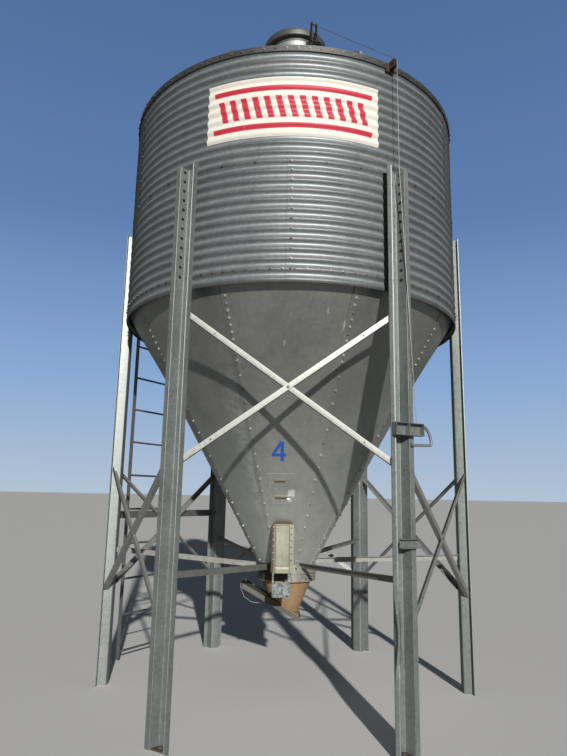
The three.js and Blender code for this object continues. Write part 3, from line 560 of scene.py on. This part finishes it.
# Painted light: the hopper is painted lighter towards its foot than where the wall overhangs it, a painted
# reflection of the light that the ground throws up.
w, place, (_, _, height) = wiring_of(hopper_zinc)
drift = w.math("MULTIPLY", 0.5, w.noise(w.stretched(place, (3.0, 3.0, 0.8)), 1.0, 3.0))
painted_ground_light = w.ramp(w.math("ADD", height, drift), 2.45, 1.25)
multiply_tone(w, w.math("ADD", 0.92, w.math("MULTIPLY", 1.05, painted_ground_light)))
plain_rows = np.linspace(hopper_bottom, hopper_top, 180)
marked_rows = np.concatenate([np.linspace(hopper_bottom, 1.375, 48), np.linspace(1.377, 1.62, 130),
                              np.linspace(1.63, hopper_top, 140)])
for i in range(hopper_panels):
    heights = np.concatenate([marked_rows if i == 0 else plain_rows, [2.868, hopper_rim]])
    first = panel_turn * (i - 0.5)
    girth = np.maximum(hopper_radius(heights), 0.23)[:, None]
    under, over = np.minimum(np.degrees(0.030 / girth), 4.5), np.minimum(np.degrees(0.022 / girth), 3.5)
    span = np.concatenate([[0, 0.002, 0.012], np.linspace(0.03, 1, 110 if i == 0 else 36)])[None, :]
    azimuth = first - under + span * (panel_turn + under + over)
    z = np.broadcast_to(heights[:, None], azimuth.shape)
    lap = hopper_lap * np.clip(1.6 - (azimuth - first + under) / (under * 1.1), 0, 1)
    cone = hopper_radius(z) * flatness(azimuth, z) - hopper_inset + lap
    radius = np.where(z > hopper_top + 0.001, rim_radius, cone)
    radius = radius + np.where(z < hopper_top - 0.05, dents((azimuth + 180) % 360 - 180, z), 0)
    # Rust follows the lap's edge, most near the wall. The front left panel has a pale band of painted sheen,
    # a painted reflection near its right seam.
    edge = np.exp(-(azimuth - azimuth[:, :1]) * np.radians(radius) / 0.007)
    edge = edge * np.clip((z - 1.9) / 0.8, 0.25, 1)
    marks = edge
    if i == 0:
        marks = np.where(edge > 0.3, edge, crease_marks(azimuth, z))
    if i == 8:
        # Painted sheen: a pale painted reflection on the front left panel.
        painted_sheen = bell(azimuth, 335.5, 5.5) * np.exp(-((z - 1.85) / 0.55) ** 4)
        marks = np.where(edge > 0.3, edge, -0.22 * painted_sheen)
    name = f"hopper_panel_{i + 1}"
    build(f"{name}_sheet", [sheet(round_axis(azimuth, radius, z), hopper_sheet, wear=marks)],
          hopper_zinc, [name])

# Hopper bolts: one row down each seam, close together near the wall and twice as far apart below.
close_rows = np.arange(2.745, 2.34, -0.0435)
far_rows = np.arange(2.26, 0.95, -0.0868)
seam_rows = np.concatenate([close_rows, far_rows])
hopper_bolts = []
for i in range(hopper_panels):
    azimuths = np.full(len(seam_rows), panel_turn * (i + 0.5) + 0.2)
    centres = round_axis(azimuths, hopper_radius(seam_rows) - 0.0012, seam_rows)
    slope = round_axis(azimuths, math.cos(math.radians(30)), -0.5)
    hopper_bolts.append(bolts(centres, slope, 1.15))
pale_bolt_zinc = zinc("pale_bolt_zinc", (0.60, 0.59, 0.53), (0.30, 0.29, 0.25), crystal=0.1, streak=0.0,
                      rust=0.8)
build("hopper_bolts", hopper_bolts, pale_bolt_zinc)

# Painted number: one plain blue numeral brushed on the front panel in three strokes.
numeral_blue, w, shader = new_finish("numeral_blue")
place = w.add("TexCoord").outputs["Object"]
paint = w.mix(w.noise(place, 60.0), (0.010, 0.055, 0.30, 1), (0.020, 0.11, 0.48, 1))
w.tree.links.new(paint, shader.inputs["Base Color"])
shader.inputs["Roughness"].default_value = 0.5


def stroke(x0, z0, x1, z1, width):
    """A brush stroke on the cone: a straight band in front view, laid on the cone's surface."""
    along = np.linspace(0, 1, 14)[:, None]
    half = np.array([[1.0, 0.0, -1.0]]) * width / 2
    length = math.hypot(x1 - x0, z1 - z0)
    dx, dz = (x1 - x0) / length, (z1 - z0) / length
    x = x0 + (x1 - x0) * along - dz * half
    z = z0 + (z1 - z0) * along + dx * half
    azimuth = np.degrees(np.arcsin(x / hopper_radius(z)))
    radius = hopper_radius(z) * flatness(azimuth, z) - 0.0022 + dents(azimuth, z)
    points = np.stack([x, -np.sqrt(radius ** 2 - x ** 2), z], -1)
    return sheet(points, paint_thick)


paint_thick = 0.0006
numeral = [
    stroke(-0.046, 1.826, -0.104, 1.742, 0.021),
    stroke(-0.114, 1.737, -0.012, 1.737, 0.021),
    stroke(-0.039, 1.827, -0.039, 1.695, 0.024),
]
build("painted_number", numeral, numeral_blue)

# Roof: nine cone panels with a standing seam at each joint and a darker skirt over the wall's top,
# held to the eave ring by a close ring of bolts.
eave_radius, skirt_bottom, skirt_top = 1.373, 4.459, 4.504
roof_rise, roof_sheet = math.tan(math.radians(37.5)), 0.0018
neck_radius, neck_inner = 0.251, 0.2477
rib_profile = np.array([[-0.014, 0], [-0.0125, 0.004], [-0.009, 0.017], [-0.004, 0.020], [0.004, 0.020],
                        [0.009, 0.017], [0.0125, 0.004], [0.014, 0]])
roof_zinc = zinc("roof_zinc", (0.27, 0.29, 0.295), (0.14, 0.152, 0.157), crystal=0.3, cloud=0.9, streak=0.6)
# The skirt is darker than the rest of the roof, up to the roof's edge.
w, place, (_, _, height) = wiring_of(roof_zinc)
above_skirt = w.ramp(height, skirt_top - 0.003, skirt_top + 0.004)
multiply_tone(w, w.math("ADD", 0.40, w.math("MULTIPLY", 0.60, above_skirt)))
# Each third of the roof has three ribs with flat runs between them. Its first rib stands just past
# its edge, and its last run ends on the next third's edge.
radii = np.concatenate([np.full(3, eave_radius), np.linspace(eave_radius, neck_radius + 0.0005, 40)])
z = skirt_top + (eave_radius - radii) * roof_rise
z[:3] = [skirt_bottom, 4.468, 4.491]
radii = radii[:, None]
rise = np.concatenate([[0, 0, 0.3], np.ones(39), [0]])[:, None]
flat = np.linspace(0.04, 0.96, 14)[None, :]
for side, first in {"front": -60, "right": 60, "left": 180}.items():
    azimuth, lift = [], []
    for k in range(3):
        middle = first + 40 * k
        shift = np.degrees(rib_profile[:, 0] / radii) + (np.degrees(0.0145 / radii) if k == 0 else 0)
        azimuth.append(middle + shift)
        lift.append(rise * rib_profile[:, 1])
        start_flat = azimuth[-1][:, -1:]
        end_flat = middle + 40 - (np.degrees(0.014 / radii) if k < 2 else 0)
        run = flat if k < 2 else np.append(flat, [[1.0]], axis=1)
        azimuth.append(start_flat + (end_flat - start_flat) * run)
        lift.append(np.zeros_like(azimuth[-1]))
    azimuth, lift = np.concatenate(azimuth, 1), np.concatenate(lift, 1)
    height = np.broadcast_to(z[:, None], azimuth.shape) + lift
    radius = np.broadcast_to(radii, azimuth.shape)
    build(f"roof_{side}_sheet", [sheet(round_axis(azimuth, radius, height), roof_sheet)], roof_zinc,
          [f"roof_{side}"])
eave_bolt_height = 4.482
build("eave_bolts", [ring_bolts(close_ring, eave_radius, eave_bolt_height, 1.1)], bolt_zinc)


def refinish(material, *nodes):
    """Give pieces that come from the frame as they are a finish in place of their plain one."""
    for node in nodes:
        materials = bpy.data.objects[node].data.materials
        materials.clear()
        materials.append(material)


refinish(roof_zinc, "eave_angle_ring")

# Fill neck and lid: a rolled tube that the roof carries and a dished, galvanised lid with a deep
# brim, opened from the ground by a lever, a cable and a pulley at the eave.
def revolved(profile, columns=96, closed=False):
    """A surface of revolution about the axis from a profile of (radius, height) that runs upwards
    on the outside, or a closed loop of such points."""
    profile = np.asarray(profile, float)
    turn = np.linspace(0, 360, columns, endpoint=False)
    points = round_axis(turn[None, :], profile[:, :1], profile[:, 1:])
    return skin(points, wrap_rows=closed, wrap_columns=True)


def bent(corners, radius, steps=4):
    """A line of straight runs with its corners rounded: each corner becomes a parabola between the
    points where a circle of that radius would touch the two runs."""
    corners = np.asarray(corners, float)
    line = [corners[0]]
    for before, corner, after in zip(corners[:-2], corners[1:-1], corners[2:]):
        back, on = before - corner, after - corner
        back_length, on_length = np.linalg.norm(back), np.linalg.norm(on)
        back, on = back / back_length, on / on_length
        half = math.acos(np.clip(np.dot(back, on), -1, 1)) / 2
        reach = min(radius / max(math.tan(half), 1e-3), 0.45 * back_length, 0.45 * on_length)
        share = np.linspace(0, 1, steps + 1)[:, None]
        first, last = corner + back * reach, corner + on * reach
        line.extend((1 - share) ** 2 * first + 2 * share * (1 - share) * corner + share ** 2 * last)
    return np.array(line + [corners[-1]])


neck_bottom, neck_top = 5.316, 5.485
neck_loop = [(neck_inner, neck_bottom), (neck_radius, neck_bottom), (neck_radius, 5.40),
             (neck_radius, 5.47), (neck_radius, neck_top), (neck_inner, neck_top)]
neck_zinc = zinc("neck_zinc", (0.48, 0.50, 0.51), (0.30, 0.32, 0.33), crystal=0.3, cloud=0.5, streak=0.3,
                 metal=0.7)
lid_zinc = zinc("lid_zinc", (0.15, 0.155, 0.15), (0.075, 0.08, 0.08), crystal=0.2, cloud=1.2, streak=0.4)
build("fill_neck_tube", [revolved(neck_loop, closed=True)], neck_zinc, ["fill_neck"], crease=25)
lid_outer = bent([(0.290, 5.524), (0.293, 5.584), (0.220, 5.623), (0.120, 5.647), (0.0, 5.655)], 0.03, 4)
lid_inner = [(0.0, 5.651), (0.120, 5.643), (0.220, 5.618), (0.289, 5.581), (0.286, 5.528),
             (neck_inner, 5.528), (neck_inner, 5.4853), (neck_radius, 5.4853), (neck_radius, 5.524)]
build("lid_dome", [revolved(np.concatenate([lid_inner, lid_outer]))], lid_zinc, ["lid"])

# Lever, pulley and cable: dark flat iron straps on pins, a rusty wheel, and a thin wire rope that
# runs down in front of the front right leg.
dark_iron = zinc("dark_iron", (0.075, 0.078, 0.080), (0.028, 0.030, 0.032), crystal=0.1, cloud=1.2,
                 streak=0.3, rust=0.8, metal=0.5)
rusty_iron = zinc("rusty_iron", (0.10, 0.058, 0.045), (0.04, 0.026, 0.022), crystal=0.0, cloud=1.5,
                  streak=0.3, metal=0.2)
rope_steel = zinc("rope_steel", (0.30, 0.30, 0.29), (0.12, 0.12, 0.12), crystal=0.0, cloud=0.6, streak=0.0,
                  metal=0.6)
refinish(dark_iron, "lid_lever")
refinish(rusty_iron, "eave_pulley")


def tube(path, diameter, columns=10, wear=0.0):
    """A round wire along a path: circles square to the path's direction, closed by a pole at each
    end. The circles' axes come from one fixed reference direction."""
    path = np.asarray(path, float)
    along = np.gradient(path, axis=0)
    along /= np.linalg.norm(along, axis=1, keepdims=True)
    first = np.cross(np.cross(along, (0.3, 0.9, 0.2)), along)
    first /= np.linalg.norm(first, axis=1, keepdims=True)
    second = np.cross(along, first)
    turn = np.linspace(0, 2 * np.pi, columns, endpoint=False)[None, :, None]
    circle = np.cos(turn) * first[:, None] + np.sin(turn) * second[:, None]
    points = path[:, None] + diameter / 2 * circle
    ends = [np.repeat(path[k][None, None], columns, axis=1) for k in (0, -1)]
    return skin(np.concatenate([ends[0], points, ends[1]]), wrap_columns=True, wear=wear)


def beside_leg(azimuth, points):
    """Points given as (sideways, distance from the axis, height) at the front, turned to the
    azimuth of a leg."""
    points = np.asarray(points, float)
    turn = math.radians(azimuth)
    side, out, z = points[..., 0], points[..., 1], points[..., 2]
    x = out * math.sin(turn) + side * math.cos(turn)
    y = -out * math.cos(turn) + side * math.sin(turn)
    return np.stack([x, y, z], -1)


# The cable leaves the lever, lies on the wheel for 43 degrees, hangs down and leans to the handle.
pulley_out, pulley_z, rope_out, rope_thick = 1.424, 4.476, 0.0268, 0.005
turn = np.radians((43, 36, 29, 22, 14, 7, 0))
wrapped = np.stack([0 * turn, pulley_out + rope_out * np.cos(turn), pulley_z + rope_out * np.sin(turn)], -1)
hanging = np.array([(0.002, 0, 3.668), (0.056, 0, 2.724), (0.083, 0, 2.252), (0.104, 0, 1.9126)])
cable = np.concatenate([[(0, 0.3376, 5.6090)], wrapped, hanging + (0, pulley_out + rope_out, 0)])
build("lid_cable_rope", [tube(beside_leg(30, cable), rope_thick, 8)], rope_steel,
      ["lid_cable"])

# Legs: galvanised open channels with slanted sides and flat lips, rolled from 5 mm plate, each on a
# bolted foot plate. The front right leg's left lip is knocked in near its foot.
leg_azimuths = {"front_left": -30, "front_right": 30, "right": 90, "back_right": 150, "back_left": -150,
                "left": -90}
leg_top, leg_back, leg_sheet, leg_depth = 3.664, 1.3668, 0.005, 0.074
leg_half = np.array([(0.035, leg_sheet), (0.0522, leg_depth - 0.003), (0.0545, leg_depth),
                     (0.0585, leg_depth - 0.003), (0.063, leg_depth - 0.004), (0.090, leg_depth - 0.004)])
leg_profile = bent(np.concatenate([leg_half[::-1] * (-1, 1), leg_half]), 0.004, 4)
leg_zinc = zinc("leg_zinc", (0.285, 0.318, 0.318), (0.165, 0.19, 0.19), crystal=0.35, cloud=0.9, streak=0.5,
                metal=0.6)
knock_height, knock_reach, foot_height = 0.65, 0.17, 0.010
foot_bolts = []
for side, azimuth in leg_azimuths.items():
    z = np.linspace(0, leg_top, 120)[:, None]
    across_leg = np.broadcast_to(leg_profile[None, :, 0], (120, len(leg_profile))).copy()
    out = leg_back + np.broadcast_to(leg_profile[None, :, 1], across_leg.shape)
    if side == "front_right":
        knocked = np.exp(-np.abs((z - knock_height) / knock_reach) ** 2.2)
        knocked = knocked * np.clip((-0.036 - across_leg) / 0.03, 0, 1)
        across_leg = across_leg + 0.045 * knocked
        out = out - 0.018 * knocked
    points = beside_leg(azimuth, np.stack(np.broadcast_arrays(across_leg, out, z), -1))
    ends = 0.35 * np.exp(-z / 0.05) + 0.4 * np.exp(-(leg_top - z) / 0.006)
    foot = beside_leg(azimuth, [
        [(-0.047, leg_back + 0.062, foot_height), (0.047, leg_back + 0.062, foot_height)],
        [(-0.036, leg_back + 0.006, foot_height), (0.036, leg_back + 0.006, foot_height)],
    ])
    parts = [sheet(points, leg_sheet, wear=ends), sheet(foot, 0.0099, wear=0.9)]
    build(f"leg_{side}_channel", parts, leg_zinc, [f"leg_{side}"])
    spot = beside_leg(azimuth, (0, leg_back + 0.034, foot_height))
    foot_bolts.append(bolts(spot, (0, 0, 1), 1.7, wear=0.9))
build("foot_bolts", foot_bolts, bolt_zinc)

# Leg bolts: through the web and the wall's ridges, and in two columns through the slanted sides.
side_bolt_across, side_bolt_out = 0.0437, 0.038
leg_bolts = []
for azimuth in leg_azimuths.values():
    heights = wall_bottom + corrugation * np.arange(1, 12, 2)
    spots = np.stack([0 * heights, 0 * heights + leg_back + leg_sheet, heights], -1)
    leg_bolts.append(bolts(beside_leg(azimuth, spots[[0, -1]]), beside_leg(azimuth, (0, 1, 0)), 1.0))
    for hand in (-1, 1):
        heights = wall_bottom + corrugation * np.arange(1, 13)
        across_leg, out = hand * side_bolt_across, leg_back + side_bolt_out
        spots = np.stack([0 * heights + across_leg, 0 * heights + out, heights], -1)
        inward = beside_leg(azimuth, (-hand * 0.967, 0.252, 0))
        leg_bolts.append(bolts(beside_leg(azimuth, spots), inward, 1.15, wear=0.0))
# The leg bolts are near black: partly their own dark colour and partly painted shade, for the shadowed
# notches round the bolts on the slanted sides.
dark_bolt_zinc = zinc("dark_bolt_zinc", (0.06, 0.06, 0.055), (0.02, 0.02, 0.02), crystal=0.1, streak=0.0,
                      rust=0.9)
build("leg_bolts", leg_bolts, dark_bolt_zinc)

# Braces: crossed angle bars, bolted behind the legs' lips and to each other where they cross, high
# in the front bay and low in the others. Bright where the front pair faces the light.
brace_plane, brace_width, brace_flange, brace_sheet = 1.272, 0.036, 0.034, 0.004
brace_half, brace_spot, brace_run = brace_width / 2, 0.477, 1.4
brace_profile = bent([(-brace_half, 0), (brace_half, 0), (brace_half, -brace_flange)], 0.004, 3)


def bar(start, end, facing, profile, thickness, rows=24):
    """A straight bar: the profile of (sideways, outwards) points is carried from start to end, with
    outwards along the facing direction and sideways square to it and to the bar."""
    start, end, facing = (np.asarray(v, float) for v in (start, end, facing))
    along = (end - start) / np.linalg.norm(end - start)
    sideways = np.cross(along, facing)
    sideways /= np.linalg.norm(sideways)
    face = np.cross(sideways, along)
    share = np.linspace(0, 1, rows)[:, None, None]
    section = profile[:, :1] * sideways + profile[:, 1:] * face
    points = start + share * (end - start) + section[None]
    return sheet(points, thickness)


brace_zinc = zinc("brace_zinc", (0.40, 0.415, 0.405), (0.22, 0.232, 0.225), crystal=0.4, cloud=0.9,
                  streak=0.4)
bays = {"front": 0, "front_right": 60, "back_right": 120, "back": 180, "back_left": -120, "front_left": -60}
for bay, azimuth in bays.items():
    low, high = (1.627, 2.626) if bay == "front" else (0.690, 1.668)
    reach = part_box("brace_front")[1].x - 0.002
    rise = (high - low) / brace_run
    middle = (low + high) / 2
    bars, heads = [], []
    for lean, depth in ((1, 0.0), (-1, 0.0046)):
        ends, spots = (
            [(s * x, brace_plane - depth, middle + lean * s * x * rise) for s in (-1, 1)]
            for x in (reach, brace_spot)
        )
        start, end = beside_leg(azimuth, ends)
        facing = beside_leg(azimuth, (0, 1, 0))
        bars.append(bar(start, end, facing, brace_profile, brace_sheet))
        heads.append(bolts(beside_leg(azimuth, spots), facing, 0.6, wear=0.6))
    heads.append(bolts(beside_leg(azimuth, (0, brace_plane, middle)), facing, 1.1, wear=0.6))
    build(f"brace_{bay}_bars", bars, brace_zinc, [f"brace_{bay}"])
    build(f"brace_{bay}_bolts", heads, bolt_zinc)

# Stays, ladder and its fixings: angle bars from the legs to the collar, and a site-made ladder of
# flat stiles and round rungs that stands off the back of the silo.
ladder_steel = zinc("ladder_steel", (0.20, 0.215, 0.22), (0.10, 0.11, 0.115), crystal=0.2, cloud=0.9,
                    streak=0.5)
stay_zinc = zinc("stay_zinc", (0.29, 0.30, 0.285), (0.15, 0.158, 0.15), crystal=0.3, cloud=1.0, streak=0.5)
refinish(stay_zinc, *(f"stay_{side}" for side in leg_azimuths))
refinish(ladder_steel, "ladder", "ladder_girt", "ladder_bracket_lower", "ladder_bracket_upper")

# Pull brackets and handle: pressed trays bolted to the front right leg, and a bent rod that pulls
# the lid's cable.
refinish(leg_zinc, "pull_bracket_upper", "pull_bracket_lower")
handle_thick, handle_gap = 0.018, 0.0003
handle_out = leg_back + leg_depth + handle_gap + handle_thick / 2
handle = np.array([(139.4, 12, 1895), (148, 12, 1895), (163, 12, 1893), (188, 12, 1869), (205, 12, 1832),
                   (213, 12, 1790), (206, 11, 1781), (150, 7, 1779), (95, 1, 1777), (60, 0, 1776)]) / 1000
handle_path = beside_leg(30, bent(handle + (0, handle_out, 0), 0.03, 5))
build("pull_handle_rod", [tube(handle_path, handle_thick, 14, wear=0.1)], leg_zinc,
      ["pull_handle"])

# Outlet collar: two rolled bands with a bolted flange between them under the hopper's last edge.
outlet_zinc = zinc("outlet_zinc", (0.40, 0.405, 0.36), (0.16, 0.165, 0.15), crystal=0.2, cloud=1.1,
                   streak=0.7, metal=0.4)
collar_loop = [(0.226, 0.812), (0.230, 0.812), (0.230, 0.838), (0.2325, 0.842), (0.2325, 0.850),
               (0.230, 0.854), (0.230, 0.864), (0.240, 0.864), (0.240, 0.872), (0.232, 0.872),
               (0.232, 0.9347), (0.226, 0.9347)]
build("outlet_collar_bands", [revolved(collar_loop, closed=True)], outlet_zinc,
      ["outlet_collar"], crease=25)
# Painted shade: the collar is painted darker behind the side chute and to its left, where the chute shades it
# and where it shows through the slide plate's slot.
w, place, (sidelong, depth, _) = wiring_of(outlet_zinc)
sidelong = w.math("ADD", sidelong, w.math("MULTIPLY", 0.03, w.noise(place, 30.0)))
painted_shade = w.math("MULTIPLY", w.ramp(depth, -0.05, -0.10), w.ramp(sidelong, 0.065, 0.035))
multiply_tone(w, w.math("SUBTRACT", 1.0, w.math("MULTIPLY", 0.80, painted_shade)))
collar_bolts = [ring_bolts(np.arange(24) * 15.0 + 4, 0.232, 0.905, 0.9),
                ring_bolts(np.arange(12) * 30.0 + 11, 0.230, 0.825, 0.9)]
build("collar_bolts", collar_bolts, bolt_zinc)

# Side chute: a pressed steel cover with a raised middle, a rounded top and bolted flanges, on two
# cheeks that end against the hopper. Pale, yellowed, and rusty along its flanges and top; its left
# flange is darker still, with rust and painted shade where the raised middle would shade it.
chute_middle, chute_half, chute_face = -0.029, 0.082, 0.428
chute_bottom, chute_top, chute_corner = 0.898, 1.265, 0.045
chute_sheet, cheek_sheet, cheek_sides, cheek_top = 0.0035, 0.004, (-0.109, 0.047), 1.2400
panel_proud, panel_top, panel_edge = 0.018, 1.240, 0.0535
lip_top, lip_half, lip_proud = 0.938, 0.060, 0.003
chute_zinc = zinc("chute_zinc", (0.36, 0.36, 0.27), (0.17, 0.175, 0.15), crystal=0.15, cloud=1.6, streak=1.1,
                  metal=0.25, rust=0.9)
z = np.concatenate([np.linspace(chute_bottom, 1.22, 40), np.linspace(1.223, 1.2649, 16)])[:, None]
corner_rise = np.clip(z - (chute_top - chute_corner), 0, chute_corner)
half = chute_half - chute_corner + np.sqrt(np.maximum(chute_corner ** 2 - corner_rise ** 2, 0))
side_steps = np.array([0.082, 0.078, 0.070, 0.062, 0.056, 0.0525, 0.0505, 0.0485, 0.044, 0.034, 0.022, 0.010])
x = np.concatenate([-side_steps, [0.0], side_steps[::-1]])[None, :]
x = np.clip(x, -half, half)
raised = np.clip((panel_edge - np.abs(x)) / 0.005, 0, 1) * np.clip((panel_top - z) / 0.008, 0, 1)
raised = raised ** 2 * (3 - 2 * raised)
lip = np.clip((lip_top - z) / 0.003, 0, 1) * np.clip((lip_half - np.abs(x)) / 0.003, 0, 1)
out = chute_face + panel_proud * raised + lip_proud * lip * (raised > 0.9)
points = np.stack(np.broadcast_arrays(chute_middle + x, -out, z), -1)
# Rust on the flanges and the top; the left flange's heavier dark mark is partly painted shade from the raised
# middle.
rim = np.clip((np.abs(x) - 0.054) / 0.012, 0, 1) * np.where(x < 0, 1.0, 0.30)
rim = rim + np.clip((z - 1.238) / 0.01, 0, 1)
parts = [sheet(points, chute_sheet, wear=np.clip(rim, 0, 1))]
for x_side in cheek_sides:
    z = np.linspace(chute_bottom, cheek_top, 30)[:, None]
    share = np.linspace(0, 1, 8)[None, :]
    cone = hopper_radius(np.maximum(z, hopper_bottom))
    cone = cone * flatness(np.degrees(np.arcsin(x_side / cone)), z) + 0.0008
    inner_face = np.sqrt(np.maximum(cone, 0.2325) ** 2 - x_side ** 2)
    outer_face = chute_face - 0.003
    out = outer_face + (inner_face - outer_face) * share
    points = np.stack(np.broadcast_arrays(x_side, -out, z), -1)
    parts.append(sheet(points[:, ::-1], cheek_sheet, wear=0.4))
build("side_chute_cover", parts, chute_zinc, ["side_chute"])
chute_bolts = []
flange_spots = [(s, z) for s in (-0.0665, 0.0665) for z in np.arange(0.99, 1.24, 0.046)]
spots = [(chute_middle + s, -chute_face, z) for s, z in flange_spots]
chute_bolts.append(bolts(spots, (0, -1, 0), 0.9, wear=0.1))
spots = [(chute_middle + s, -chute_face - panel_proud, 0.950) for s in np.linspace(-0.042, 0.042, 6)]
chute_bolts.append(bolts(spots, (0, -1, 0), 0.6, wear=0.2))
build("chute_bolts", chute_bolts, bolt_zinc)

# Chute slide plate: a new, brightly spangled plate under the chute's lip, with an open slot.
spangle = zinc("new_spangle", (0.24, 0.28, 0.285), (0.085, 0.105, 0.11), crystal=1.1, cloud=0.3,
               streak=0.0, metal=0.8)
refinish(spangle, "chute_slide_plate")

# Boot: a rolled steel funnel that ends in a slanted flange on the gate's rails. Meal dust has
# stained it orange and tan.
gate_tilt, gate_height = math.radians(28.4), 0.600
boot_top, boot_foot, boot_radius, boot_run = 0.8117, 0.806, 0.197, 0.42


def on_gate(points):
    """Points given as (down the slope, across, square to the gate) in the silo's frame."""
    points = np.asarray(points, float)
    down, sideways, off = points[..., 0], points[..., 1], points[..., 2]
    x = down * math.cos(gate_tilt) + off * math.sin(gate_tilt)
    return np.stack([x, sideways, gate_height - down * math.sin(gate_tilt) + off * math.cos(gate_tilt)], -1)


boot_paint = zinc("stained_boot", (0.42, 0.29, 0.165), (0.21, 0.135, 0.070), crystal=0.0, cloud=1.2,
                  streak=0.9, metal=0.1, relief=0.0006)
turn = np.linspace(0, 2 * np.pi, 72, endpoint=False)[None, :]
tip = math.tan(gate_tilt)
cut_z = gate_height - tip * np.cos(turn) * (boot_radius - boot_run * boot_foot)
cut_z = cut_z / (1 + tip * boot_run * np.cos(turn))
share = np.linspace(0, 1, 20)[:, None]
z = cut_z + 0.003 + share * (boot_top - cut_z - 0.003)
radius = boot_radius + boot_run * (z - boot_foot)
cone = np.stack([radius * np.cos(turn), radius * np.sin(turn), z], -1)
parts = [sheet(cone, 0.003, ring=True)]
boot_collar = [(0.190, boot_foot), (0.230, boot_foot), (0.230, boot_top), (0.190, boot_top)]
parts.append(revolved(boot_collar, closed=True))
# The flange runs from a rectangle in to the funnel's cut edge, along rays from the middle.
slope = np.array([math.cos(gate_tilt), 0, -math.sin(gate_tilt)])
hole_line = np.stack([(cone[0] - (0, 0, gate_height)) @ slope, cone[0][:, 1]], -1)
ray_down, ray_across = np.cos(turn[0]), np.sin(turn[0])
flange_low, flange_high, flange_half = 0.116, 0.174, 0.128
to_end = np.where(ray_down > 0, flange_low, flange_high) / np.maximum(np.abs(ray_down), 1e-6)
to_side = flange_half / np.maximum(np.abs(ray_across), 1e-6)
rim_reach = np.minimum(to_end, to_side)
rim_line = np.stack([rim_reach * ray_down, rim_reach * ray_across], -1)
share = np.linspace(0, 1, 6)[:, None, None]
flat = rim_line[None] + share * (hole_line - rim_line)[None]
flange = on_gate(np.concatenate([flat, np.full(flat.shape[:2] + (1,), 0.0043)], -1))
parts.append(sheet(flange, 0.004, ring=True))
build("boot_funnel", parts, boot_paint, ["boot"], crease=25)

# Slide gate: a plate that slides on ledges between two galvanised rails, pulled by a bent wire at
# its upper end.
gate_zinc = zinc("gate_zinc", (0.13, 0.135, 0.12), (0.06, 0.063, 0.056), crystal=0.2, cloud=1.1,
                 streak=0.5, metal=0.35)
refinish(gate_zinc, "gate_frame", "gate_plate")
bail_end, bail_thick = -0.3953, 0.006
half_bail = np.array([(0, 0.111, -0.003), (0, 0.137, -0.003), (0.014, 0.137, -0.032), (0.070, 0.137, -0.078),
                      (0.140, 0.137, -0.086), (0.190, 0.137, -0.066), (0.205, 0.125, -0.060)])
half_bail = half_bail + (bail_end, 0, 0)
bail = bent(np.concatenate([half_bail * (1, -1, 1), half_bail[::-1]]), 0.02, 5)
build("gate_bail_wire", [tube(on_gate(bail), bail_thick, 8)], rope_steel, ["gate_pull_wire"],
      body="gate")

# Printed panel: a white vinyl sheet stuck over the corrugations of the upper ring, with two red
# stripes and a row of slanted red bars between them, worn and speckled with dirt.
panel_span, panel_low, panel_high = 25.8, 3.821, 4.262
panel_gap, panel_thick, no_lap = 0.0010, 0.0006, -99
points = wall_sheet_points(np.linspace(-panel_span, panel_span, 61), np.linspace(panel_low, panel_high, 90),
                           no_lap, 0)
print_points = points + panel_gap * outward(points)
panel_paint, w, shader = new_finish("panel_print")
place = w.add("TexCoord").outputs["Object"]
chart = w.add("UVMap", uv_map="panel").outputs[0]
split = w.add("SeparateXYZ", {"Vector": chart})
u, v = split.outputs[0], split.outputs[1]


def band(w, value, low, high, soft=0.004):
    """One inside a range of the value and nought outside it, with soft edges."""
    return w.math("MULTIPLY", w.ramp(value, low - soft, low + soft), w.ramp(value, high + soft, high - soft))


stripes = w.math("MAXIMUM", band(w, v, 0.14, 0.215), band(w, v, 0.785, 0.86))
slanted = w.math("ADD", w.math("MULTIPLY", u, 15.0), w.math("MULTIPLY", w.math("SUBTRACT", v, 0.5), 1.3))
bars_mask = w.math("MULTIPLY", band(w, w.math("FRACT", slanted), 0.24, 0.76, 0.03), band(w, v, 0.32, 0.68))
bars_mask = w.math("MULTIPLY", bars_mask, band(w, slanted, 1.0, 14.0))
stripes = w.math("MULTIPLY", stripes, band(w, u, 0.04, 0.96))
red = w.math("MAXIMUM", stripes, bars_mask, clamp=True)
wear_noise = w.noise(place, 38.0, 5.0, 0.7)
red = w.math("MULTIPLY", red, w.ramp(wear_noise, 0.72, 0.66))
white = w.mix(w.noise(place, 9.0), (0.78, 0.77, 0.72, 1), (0.64, 0.63, 0.58, 1))
paint = w.mix(red, white, (0.52, 0.028, 0.060, 1))
speck = w.ramp(w.noise(place, 150.0, 3.0, 0.6), 0.68, 0.76)
paint = w.mix(w.math("MULTIPLY", speck, 0.5), paint, (0.30, 0.29, 0.24, 1))
w.tree.links.new(paint, shader.inputs["Base Color"])
shader.inputs["Roughness"].default_value = 0.5
panel = build("printed_panel", [sheet(print_points, panel_thick)], panel_paint)
chart_layer = panel.data.uv_layers.new(name="panel")
corner_ids = np.empty(len(panel.data.loops), int)
panel.data.loops.foreach_get("vertex_index", corner_ids)
corners = np.empty(len(panel.data.vertices) * 3)
panel.data.vertices.foreach_get("co", corners)
corners = corners.reshape(-1, 3)[corner_ids]
across_share = np.degrees(np.arctan2(corners[:, 0], -corners[:, 1])) / (2 * panel_span) + 0.5
up_share = (corners[:, 2] - panel_low) / (panel_high - panel_low)
chart_layer.data.foreach_set("uv", np.stack([across_share, up_share], -1).ravel())

low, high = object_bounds()
